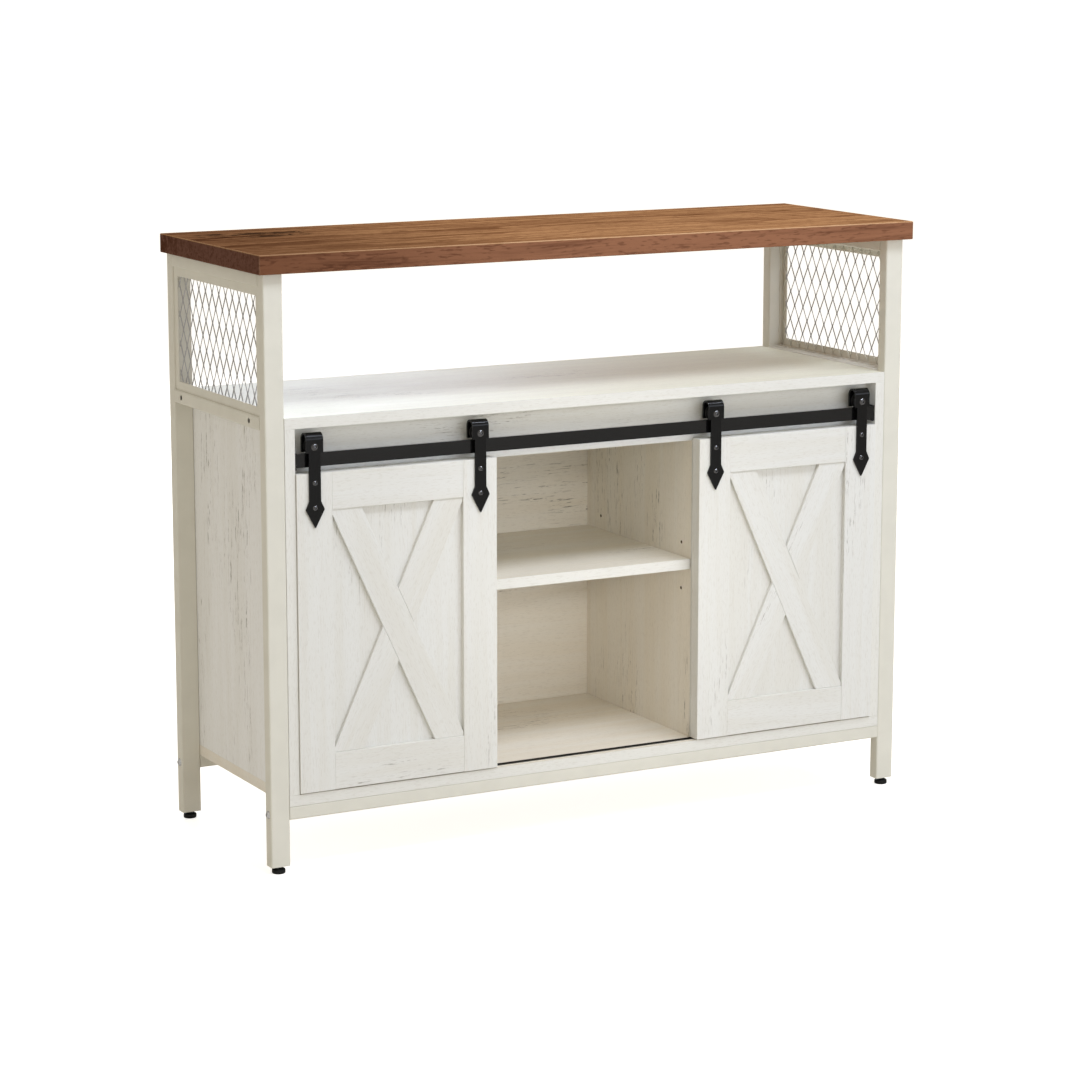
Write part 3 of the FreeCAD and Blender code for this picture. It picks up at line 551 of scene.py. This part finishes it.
def even_shading(piece):
    """Keeps the flat faces flat next to eased edges."""
    shading = piece.modifiers.new("even_shading", "WEIGHTED_NORMAL")
    shading.keep_sharp = True
    shading.weight = 60
    return piece


def settle(piece, node):
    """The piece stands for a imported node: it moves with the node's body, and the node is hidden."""
    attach(piece, frame["nodes"][node]["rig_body"])
    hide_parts(node)
    return piece


def cleaned(node):
    """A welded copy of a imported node's mesh, with its flat faces whole again."""
    bm = bmesh.new()
    bm.from_mesh(frame["nodes"][node].data)
    bmesh.ops.remove_doubles(bm, verts=bm.verts, dist=WELD)
    bmesh.ops.dissolve_limit(bm, angle_limit=FLAT_JOIN, verts=bm.verts, edges=bm.edges)
    for face in bm.faces:
        face.material_index = 0
    return bm


def ease_edges(bm, offset, chosen=None, segments=2):
    """Rounds the sharp edges over by a small radius."""
    edges = [e for e in bm.edges if len(e.link_faces) == 2 and e.calc_face_angle(0.0) > SHARP]
    if chosen is not None:
        edges = [e for e in edges if chosen(e)]
    bmesh.ops.bevel(bm, geom=edges, offset=offset, offset_type="OFFSET", segments=segments, profile=0.5,
                    affect="EDGES", clamp_overlap=True)


def edge_band(bm, side, slot=BAND_SLOT):
    """Marks off the banding on the side that faces a direction, with a fine seam scored behind it."""
    reach = max(v.co.dot(side) for v in bm.verts)
    seam = reach - BAND
    for offset in (-SEAM_HALF, 0.0, SEAM_HALF):
        geom = bm.verts[:] + bm.edges[:] + bm.faces[:]
        bmesh.ops.bisect_plane(bm, geom=geom, plane_co=side * (seam + offset), plane_no=side, dist=CUT_SNAP)
    bm.normal_update()
    for vert in bm.verts:
        if abs(vert.co.dot(side) - seam) < SAME_SPOT:
            inward = vert.normal - side * vert.normal.dot(side)
            vert.co -= inward.normalized() * SEAM_DEEP
    for face in bm.faces:
        if face.calc_center_median().dot(side) > seam + SEAM_HALF * 0.4:
            face.material_index = slot


DECOR = random.Random(1907)


def grain_place(along, through):
    """Where a board lies on the printed decor: its grain along the local X, its face square to Z."""
    turn = Matrix((along, through.cross(along), through)).transposed().to_4x4()
    shift = Vector((DECOR.uniform(1, 9), DECOR.uniform(1, 9), DECOR.uniform(1, 9)))
    return turn @ Matrix.Translation(-shift)


def bare_drillings(bm):
    """Gives the walls and floors of the drilled holes the core's slot."""
    round_verts = {v for f in bm.faces if max(abs(c) for c in f.normal) < FLAT_NORMAL for v in f.verts}
    for face in bm.faces:
        if all(v in round_verts for v in face.verts):
            face.material_index = CORE_SLOT


def board(node, along, through, bands=(), finish="wash", ease=BOARD_EASE, drilled=False):
    """A packed board with eased edges, banded sides and its decor laid along its grain."""
    bm = cleaned(node)
    if drilled:
        bare_drillings(bm)
    ease_edges(bm, ease, lambda e: all(f.material_index == 0 for f in e.link_faces))
    for side in bands:
        edge_band(bm, side)
    piece = piece_from(bm, node + "_board", (finish, "wash_band", "core"), grain_place(along, through))
    return settle(even_shading(piece), node)


def fitting(node, finish, ease):
    """A packed steel or plastic fitting with its edges broken."""
    bm = cleaned(node)
    ease_edges(bm, ease)
    return settle(even_shading(piece_from(bm, node + "_fitting", (finish,))), node)


# ------------------------------------------------------------------ turned pieces
def ring_radius(outline, nominal, angle, height):
    """Radius of a ring's outline at an angle: round, hexagon, cross recess or a screw thread."""
    if outline == "hex":
        return nominal / math.cos((angle % (math.pi / 3)) - math.pi / 6)
    if outline == "cross":
        c, s = abs(math.cos(angle)) + 1e-9, abs(math.sin(angle)) + 1e-9
        half = nominal * CROSS_ARM
        return max(min(nominal / c, half / s), min(nominal / s, half / c))
    if outline == "thread":
        phase = (height / THREAD_PITCH - angle / (2 * math.pi)) % 1.0
        return nominal + THREAD_DEEP * (abs(2 * phase - 1) - 0.5)
    return nominal


def turned(bm, rings, base, axis, sides=48, closed=False):
    """Skins a stack of rings round an axis. Each ring is its radius, its height and its outline."""
    axis = axis.normalized()
    first = axis.orthogonal().normalized()
    second = axis.cross(first)
    loops = []
    for radius, height, outline in rings:
        if radius == 0.0:
            loops.append([bm.verts.new(base + axis * height)])
            continue
        loop = []
        for i in range(sides):
            angle = 2 * math.pi * i / sides
            r = ring_radius(outline, radius, angle, height)
            point = base + axis * height + first * (r * math.cos(angle))
            loop.append(bm.verts.new(point + second * (r * math.sin(angle))))
        loops.append(loop)
    pairs = list(zip(loops, loops[1:])) + ([(loops[-1], loops[0])] if closed else [])
    for low, high in pairs:
        for i in range(sides):
            j = (i + 1) % sides
            corners = [low[i % len(low)], low[j % len(low)], high[j % len(high)], high[i % len(high)]]
            corners = [v for k, v in enumerate(corners) if v not in corners[:k]]
            if len(corners) > 2:
                bm.faces.new(corners)


def in_metres(profile):
    """Rings of a profile that is drawn in millimetres."""
    return [(radius * MM, height * MM, outline) for radius, height, outline in profile]


def dome_rings(radius, rise, to_radius):
    """Rings of a domed head from its rim up to the edge of its recess."""
    ball = (radius * radius + rise * rise) / (2 * rise)
    rings = []
    for i in range(DOME_STEPS + 1):
        r = radius + (to_radius - radius) * i / DOME_STEPS
        rings.append((r, math.sqrt(ball * ball - r * r) - (ball - rise), "round"))
    return rings


def head_and_shank(bm, seat, outward, head_radius, rise, recess, recess_radius, shank_radius, shank_length):
    """A domed screw or bolt: recess, head and shank in one skin."""
    dome = dome_rings(head_radius, rise, recess_radius * RECESS_RIM[recess])
    top = dome[-1][1]
    edge = 0.35 * MM
    rings = [(0.0, top - recess_radius * 1.05, "round"),
             (recess_radius * 0.80, top - recess_radius * 0.95, recess),
             (recess_radius * 0.98, top - 0.15 * MM, recess),
             (recess_radius, top - 0.02 * MM, recess)]
    rings += dome[::-1]
    rings += [(head_radius - 0.1 * MM, 0.0, "round")]
    rings += [(shank_radius, 0.0, "round"), (shank_radius, -shank_length + edge, "round"),
              (shank_radius - edge, -shank_length, "round"), (0.0, -shank_length, "round")]
    turned(bm, rings, seat, outward)


def islands(node):
    """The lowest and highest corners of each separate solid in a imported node."""
    bm = bmesh.new()
    bm.from_mesh(frame["nodes"][node].data)
    bmesh.ops.remove_doubles(bm, verts=bm.verts, dist=WELD)
    left = set(bm.verts)
    found = []
    while left:
        stack, seen = [left.pop()], []
        while stack:
            vert = stack.pop()
            seen.append(vert.co.copy())
            for edge in vert.link_edges:
                other = edge.other_vert(vert)
                if other in left:
                    left.remove(other)
                    stack.append(other)
        low = Vector([min(c[i] for c in seen) for i in range(3)])
        high = Vector([max(c[i] for c in seen) for i in range(3)])
        found.append((low, high))
    bm.free()
    return sorted(found, key=lambda b: tuple(round(c, 5) for c in b[0]))


def screws(node, finish, slot, outward_of, head_radius, rise, recess, recess_radius, shank_radius):
    """Every screw of a node, each with its recess, standing where its solid stands."""
    bm = bmesh.new()
    for low, high in islands(node):
        outward = outward_of(low, high)
        length = (high - low).dot(Vector([abs(c) for c in outward]))
        centre = (low + high) / 2
        seat = centre + outward * (length / 2 - rise)
        head_and_shank(bm, seat, outward, head_radius, rise, recess, recess_radius, shank_radius,
                       length - rise)
    return settle(piece_from(bm, node + "_cut_heads", (finish,)), node)


# ------------------------------------------------------------------ expanded metal
def strand_path(low, high, side, phase):
    """Points, leaning and width of one zigzag strand between its knuckles."""
    half = DIAMOND_LONG / 2
    steps = int((high - low) / half * STRAND_STEPS)
    points = []
    for i in range(steps + 1):
        z = low + (high - low) * i / steps
        t = ((z - phase) / half) % 2.0
        fall = t if t < 1.0 else 2.0 - t
        flat = KNUCKLE / DIAMOND_LONG
        u = min(max((fall - flat) / (1 - 2 * flat), 0.0), 1.0)
        lean = STRAND_LEAN * math.sin(math.pi * u) * (1 if t < 1.0 else -1)
        points.append((side * (u - 0.5), z, lean))
    return points


def expanded_metal(side, sx):
    """One expanded-metal sheet: zigzag strands that meet at their knuckles, held behind the ring."""
    low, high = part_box("mesh_" + side)
    sheet_x = (low.x + high.x) / 2 - sx * MESH_SET_BACK
    swing = STRAND_PITCH - STRAND_WIDE * STRAND_OVERLAP
    middle_y, middle_z = (low.y + high.y) / 2, (low.z + high.z) / 2
    count = int((high.y - low.y) / 2 / STRAND_PITCH) + 1
    bm = bmesh.new()
    corners = len(STRAND_SECTION)
    for k in range(-count, count + 1):
        centre = middle_y + k * STRAND_PITCH
        way = 1 if k % 2 else -1
        rings = []
        for sway, z, lean in strand_path(low.z, high.z, way * swing, middle_z):
            y = min(max(centre + sway, low.y + STRAND_WIDE / 2), high.y - STRAND_WIDE / 2)
            c, s = math.cos(lean), math.sin(lean)
            ring = []
            for a, b in STRAND_SECTION:
                a, b = a * STRAND_WIDE, b * STRAND_THICK
                ring.append(bm.verts.new((sheet_x + sx * (a * s + b * c), y + a * c - b * s, z)))
            rings.append(ring)
        for one, other in zip(rings, rings[1:]):
            for i in range(corners):
                j = (i + 1) % corners
                bm.faces.new((one[i], one[j], other[j], other[i]))
        bm.faces.new(rings[0])
        bm.faces.new(rings[-1][::-1])
    ring_low, ring_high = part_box("mesh_frame_" + side)
    # Strands inside the window take the dark finish, painted shade; those over the ring keep the frame's
    # cream.
    for face in bm.faces:
        spot = face.calc_center_median()
        inside = min(spot.y - ring_low.y, ring_high.y - spot.y, spot.z - ring_low.z, ring_high.z - spot.z)
        face.material_index = 1 if inside > RING_FACE else 0
    piece = piece_from(bm, "mesh_" + side + "_strands", ("cream", "mesh"))
    settle(piece, "mesh_" + side)


def weld_tack(bm, centre, size, seed):
    """A small lumpy weld bead, painted over with the frame."""
    made = bmesh.ops.create_icosphere(bm, subdivisions=3, radius=1.0)["verts"]
    for vert in made:
        lump = 1.0 + 0.35 * noise.noise(vert.co * 1.7 + Vector((seed, 0, 0)))
        vert.co = centre + Vector((vert.co.x * size[0], vert.co.y * size[1], vert.co.z * size[2])) * lump


def weld_tacks(side, sx):
    """Tacks that hold the mesh and its ring to the frame, on the inside of the end."""
    low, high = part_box("mesh_frame_" + side)
    inner_x = low.x if sx > 0 else high.x
    bm = bmesh.new()
    seed = 0.0
    ys = [low.y + (high.y - low.y) * f for f in TACKS_LEVEL]
    zs = [low.z + (high.z - low.z) * f for f in TACKS_UPRIGHT]
    for y in ys:
        for z in (low.z, high.z):
            seed += TACK_SEED_STEP
            weld_tack(bm, Vector((inner_x + sx * TACK_PROUD, y, z)), (TACK_DEEP, TACK_LONG, TACK_THIN), seed)
    for z in zs:
        for y in (low.y, high.y):
            seed += TACK_SEED_STEP
            weld_tack(bm, Vector((inner_x + sx * TACK_PROUD, y, z)), (TACK_DEEP, TACK_THIN, TACK_LONG), seed)
    piece = piece_from(bm, "weld_tacks_" + side, ("cream",))
    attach(piece, "carcass")


# ------------------------------------------------------------------ pieces
def make_tabletop():
    """The plank-look slab, banded on all four sides."""
    bm = cleaned("tabletop")
    edge_band(bm, -Y)
    edge_band(bm, Y)
    # The end bands take the darker end finish: painted shade.
    edge_band(bm, -X, slot=END_SLOT)
    edge_band(bm, X, slot=END_SLOT)
    # The rounded rim faces take the pale rim finish: a painted highlight along the top's edges.
    for face in bm.faces:
        if RIM_LOW < face.normal.z < RIM_HIGH:
            face.material_index = RIM_SLOT
    piece = piece_from(bm, "tabletop_planks", ("top_face", "top_edge", "top_painted_shade_end", "top_painted_highlight_rim"))
    settle(even_shading(piece), "tabletop")


def make_boards():
    """Cabinet boards, each with the grain the way it runs on the real board."""
    board("deck", X, Z, (-Y, Y))
    # Bottom, shelves, back and partitions take the bay copies with painted light and warm shade.
    board("bottom_board", X, Z, (-Y,), finish="wash_painted_bay_light")
    # The header takes the darker door copy: painted shade under the deck.
    board("header_board", X, -Y, (-Z,), finish="wash_painted_shade_door")
    board("back_panel", X, -Y, finish="wash_split_painted_bay_light")
    for bay in ("left", "centre", "right"):
        board("shelf_" + bay, X, Z, (-Y,), finish="wash_painted_bay_light")
    for side in SIDES:
        # Side panels take the brightened copy, painted light; partitions the bay copy with painted bay light.
        board("side_panel_" + side, Z, X, (-Y,), finish="wash_painted_light_side", drilled=True)
        board("partition_" + side, Z, X, (-Y,), finish="wash_split_painted_bay_light", drilled=True)


def brace_run(node):
    """Direction of a brace, from the corners of its packed outline."""
    bm = bmesh.new()
    bm.from_mesh(frame["nodes"][node].data)
    bmesh.ops.remove_doubles(bm, verts=bm.verts, dist=WELD)

    def face_length(edge):
        level = abs(edge.verts[0].co.y - edge.verts[1].co.y) < SAME_SPOT
        on_rim = sum(abs(f.normal.y) > 0.5 for f in edge.link_faces) == 1
        return edge.calc_length() if level and on_rim else 0.0

    longest = max(bm.edges, key=face_length)
    run = (longest.verts[1].co - longest.verts[0].co).normalized()
    bm.free()
    return run


def make_doors():
    """Door boards: upright stiles and core, level rails, slanted braces."""
    for side in SIDES:
        door = "door_" + side
        # The door boards take the darker whitewash copy: painted shade.
        board(door + "_panel", Z, -Y, finish="wash_painted_shade_door")
        board(door + "_stiles", Z, -Y, finish="wash_painted_shade_door", ease=TRIM_EASE)
        board(door + "_rails", X, -Y, finish="wash_painted_shade_door", ease=TRIM_EASE)
        for part in ("_brace_long", "_brace_short"):
            run = brace_run(door + part)
            board(door + part, run, -Y, finish="wash_painted_shade_door", ease=TRIM_EASE)
        fitting(door + "_guides", "nylon", STEEL_EASE)


def hanger_tip(edge):
    """True for the upright edges of the arrow's point and shoulders."""
    a, b = (v.co for v in edge.verts)
    return abs(a.x - b.x) < SAME_SPOT and abs(a.z - b.z) < SAME_SPOT and abs(a.y - b.y) > HANGER_THIN


def make_hangers():
    """Black straps, bent over their wheels, with softened arrow ends."""
    for side in SIDES:
        node = "door_" + side + "_hangers"
        bm = cleaned(node)
        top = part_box(node)[1].z
        ease_edges(bm, ARROW_TIP_EASE, lambda e: hanger_tip(e) and e.verts[0].co.z < top - BEND_HIGH,
                   segments=3)
        ease_edges(bm, STEEL_EASE)
        piece = piece_from(bm, node + "_straps", ("strap",))
        settle(even_shading(piece), node)
        screws("door_" + side + "_strap_screws", "oxide", "black_steel", lambda low, high: -Y,
               *STRAP_SCREW)
        make_axles(side)


def make_axles(side):
    """Shoulder bolts through the hangers: hexagon socket in front, locknut behind."""
    node = "door_" + side + "_axles"
    bm = bmesh.new()
    for low, high in islands(node):
        centre = (low + high) / 2
        front, back = low.y + AXLE_BOLT[1], high.y - NUT_THICK * MM
        head_and_shank(bm, Vector((centre.x, front, centre.z)), -Y, *AXLE_BOLT, back - front)
        turned(bm, in_metres(NUT_PROFILE), Vector((centre.x, back, centre.z)), Y)
    settle(piece_from(bm, node + "_bolts", ("oxide",)), node)


def make_rollers():
    """Grooved nylon wheels with dished webs."""
    for side in SIDES:
        for place in ("outer", "inner"):
            node = f"roller_{side}_{place}"
            low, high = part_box(node)
            centre = (low + high) / 2
            half, rim = (high.y - low.y) / 2, (high.z - low.z) / 2
            root, web, dish = rim - TREAD_DEEP, rim - RIM_WALL, half - DISH_DEEP
            outer = [(WHEEL_BORE, half), (WHEEL_HUB, half), (WHEEL_HUB + 0.5 * MM, dish), (web, dish),
                     (web + 0.5 * MM, half), (rim - 0.6 * MM, half), (rim - 0.15 * MM, half - 0.18 * MM),
                     (rim, half - 0.7 * MM), (rim, GROOVE_HALF + 0.7 * MM),
                     (rim - 0.3 * MM, GROOVE_HALF + 0.35 * MM), (root + 0.3 * MM, GROOVE_HALF + 0.05 * MM),
                     (root, GROOVE_HALF - 0.25 * MM)]
            rings = [(r, h, "round") for r, h in outer]
            rings += [(r, -h, "round") for r, h in outer[::-1]]
            bm = bmesh.new()
            turned(bm, rings, centre, Y, sides=WHEEL_SIDES, closed=True)
            settle(piece_from(bm, node + "_wheel", ("nylon",)), node)


def make_feet():
    """Levelling feet: a broad pad, a hexagon to turn it by and a threaded stud."""
    for end in ("front", "rear"):
        for side in SIDES:
            node = f"levelling_foot_{end}_{side}"
            low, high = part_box(node)
            centre = (low + high) / 2
            rings = in_metres(FOOT_PROFILE)
            stud_top = high.z - low.z
            steps = int((stud_top - FOOT_HIGH - 0.6 * MM) / (THREAD_PITCH / THREAD_RINGS))
            for i in range(steps + 1):
                z = FOOT_HIGH + 0.1 * MM + i * THREAD_PITCH / THREAD_RINGS
                rings.append((STUD_RADIUS, z, "thread"))
            rings += [(STUD_END_RADIUS, stud_top, "round"), (0.0, stud_top, "round")]
            bm = bmesh.new()
            turned(bm, rings, Vector((centre.x, centre.y, low.z)), Z)
            settle(piece_from(bm, node + "_turned", ("nylon",)), node)


def make_frame_details():
    """Mesh ends, welds and the fasteners of the steel frame."""
    for side, sx in (("left", -1), ("right", 1)):
        fitting("mesh_frame_" + side, "cream", STEEL_EASE)
        expanded_metal(side, sx)
        weld_tacks(side, sx)
    screws("frame_bolts", "zinc", "zinc", lambda low, high: X if low.x > 0 else -X, *FRAME_BOLT)

    def frame_screw_way(low, high):
        """Upright screws are driven from below, the others from the ends."""
        if high.z - low.z > high.x - low.x:
            return -Z
        return X if low.x > 0 else -X

    screws("frame_screws", "zinc", "zinc", frame_screw_way, *SMALL_SCREW)
    screws("door_rail_screws", "oxide", "black_steel", lambda low, high: -X if low.x > 0 else X,
           *SMALL_SCREW)
    fitting("door_rail", "black", DOOR_RAIL_EASE)
    fitting("guide_channel", "nylon", CHANNEL_EASE)


KEPT = {
    "cream": ["front_bottom_rail", "rear_bottom_rail"]
    + [f"{part}_{side}" for side in SIDES for part in ("leg_front", "leg_rear", "top_rail", "mid_rail")],
    "nylon": ["leg_plugs"],
    "zinc": ["shelf_pins"],
    "beech": ["panel_dowels"],
}


def finish_kept_nodes():
    """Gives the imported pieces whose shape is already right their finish."""
    for finish, nodes in KEPT.items():
        for node in nodes:
            slots = frame["nodes"][node].data.materials
            slots.clear()
            slots.append(FINISHES[finish])


# ------------------------------------------------------------------ studio
COOL = (0.90, 0.98, 1.13)
SOFT_WARM = (1.04, 1.0, 0.92)

# Place, what it points at, width and height, power and tint
SOFT_BOXES = {
    "front_box": ((0.9, -5.6, 1.0), (0.0, 0.0, 0.5), (2.2, 1.2), 32, COOL),
    "right_box": ((2.6, -4.4, 2.0), (0.0, 0.0, 0.5), (2.0, 1.8), 30, COOL),
    "front_left_box": ((-2.9, -4.4, 1.0), (0.0, 0.0, 0.4), (1.6, 1.6), 5, COOL),
    "top_strip": ((0.7, -1.6, 3.1), (0.0, 0.0, 0.65), (2.6, 0.16), 48, COOL),
    "left_box": ((-3.6, -0.6, 1.6), (0.0, 0.0, 0.5), (1.6, 1.8), 6, SOFT_WARM),
    "back_box": ((0.8, 4.2, 2.0), (0.0, 0.0, 0.5), (2.6, 2.0), 95, COOL),
}

# Place, what it points at and power
BAY_SPOTS = {
    "bay_back_spot": ((-0.8, -2.6, 1.2), (0.08, 0.0, 0.36), 98),
    "bay_floor_spot": ((-0.3, -1.9, 2.3), (0.02, -0.1, 0.16), 62),
}
SPOT_SPREAD = math.radians(8.5)

FLOOR_HALF = 90.0
FLOOR_COLOUR = (0.80, 0.76, 0.69, 1)
FLOOR_GLOW = 0.72
WHITE = (1, 1, 1, 1)
SURROUNDINGS_SEEN = 1.05
FILL_COLOUR = (1.06, 0.99, 0.87, 1)
FILL_STRENGTH = 0.47

CAMERA_LENS = 107.95
CAMERA_SENSOR = 36.0
CAMERA_PLACE = (-2.3372, -4.3250, 1.3576)
CAMERA_DOWN = math.radians(10.837)
CAMERA_TURN = math.radians(28.316)


def hang_lamp(name, light, place, target):
    """Stands a lamp at a place, pointing at its target."""
    lamp = bpy.data.objects.new(name, light)
    lamp.location = place
    lamp.rotation_euler = (Vector(target) - Vector(place)).to_track_quat("-Z", "Y").to_euler()
    bpy.context.scene.collection.objects.link(lamp)


def soft_box(name, place, target, size, power, tint):
    """A rectangular soft light."""
    light = bpy.data.lights.new(name, "AREA")
    light.shape = "RECTANGLE"
    light.size, light.size_y = size
    light.energy = power
    light.color = tint
    hang_lamp(name, light, place, target)


def bay_spot(name, place, target, power):
    """A narrow warm lamp that reaches into the open middle bay."""
    light = bpy.data.lights.new(name, "SPOT")
    light.energy = power
    light.color = SOFT_WARM
    light.spot_size = SPOT_SPREAD
    light.spot_blend = 0.9
    light.shadow_soft_size = 0.25
    hang_lamp(name, light, place, target)


def studio():
    """Pale floor, white surroundings, soft boxes and the bay's spots."""
    bm = bmesh.new()
    bmesh.ops.create_grid(bm, x_segments=1, y_segments=1, size=FLOOR_HALF)
    mesh = bpy.data.meshes.new("studio_floor")
    bm.to_mesh(mesh)
    bm.free()
    floor = bpy.data.objects.new("studio_floor", mesh)
    bpy.context.scene.collection.objects.link(floor)
    material = bpy.data.materials.new("pale_floor")
    material.use_nodes = True
    shader = material.node_tree.nodes["Principled BSDF"]
    shader.inputs["Base Color"].default_value = FLOOR_COLOUR
    shader.inputs["Roughness"].default_value = 1.0
    shader.inputs["Specular IOR Level"].default_value = 0.0
    shader.inputs["Emission Color"].default_value = WHITE
    path = material.node_tree.nodes.new("ShaderNodeLightPath")
    glow = material.node_tree.nodes.new("ShaderNodeMath")
    glow.operation = "MULTIPLY"
    glow.inputs[1].default_value = FLOOR_GLOW
    material.node_tree.links.new(path.outputs["Is Camera Ray"], glow.inputs[0])
    material.node_tree.links.new(glow.outputs[0], shader.inputs["Emission Strength"])
    mesh.materials.append(material)

    world = bpy.data.worlds.new("studio")
    bpy.context.scene.world = world
    world.use_nodes = True
    nodes, links = world.node_tree.nodes, world.node_tree.links
    seen = nodes["Background"]
    seen.inputs["Color"].default_value = WHITE
    seen.inputs["Strength"].default_value = SURROUNDINGS_SEEN
    fill = nodes.new("ShaderNodeBackground")
    fill.inputs["Color"].default_value = FILL_COLOUR
    fill.inputs["Strength"].default_value = FILL_STRENGTH
    choice = nodes.new("ShaderNodeMixShader")
    path = nodes.new("ShaderNodeLightPath")
    links.new(path.outputs["Is Camera Ray"], choice.inputs[0])
    links.new(fill.outputs[0], choice.inputs[1])
    links.new(seen.outputs[0], choice.inputs[2])
    links.new(choice.outputs[0], nodes["World Output"].inputs["Surface"])

    for name, settings in SOFT_BOXES.items():
        soft_box(name, *settings)
    for name, settings in BAY_SPOTS.items():
        bay_spot(name, *settings)


def camera():
    """Long lens from the left and a little above."""
    data = bpy.data.cameras.new("camera")
    data.lens = CAMERA_LENS
    data.sensor_width = CAMERA_SENSOR
    eye = bpy.data.objects.new("camera", data)
    eye.location = CAMERA_PLACE
    eye.rotation_euler = (math.radians(90) - CAMERA_DOWN, 0.0, -CAMERA_TURN)
    bpy.context.scene.collection.objects.link(eye)
    bpy.context.scene.camera = eye


make_tabletop()
make_boards()
make_doors()
make_hangers()
make_rollers()
make_feet()
make_frame_details()
finish_kept_nodes()
studio()
camera()
bpy.context.scene.view_settings.view_transform = "Standard"
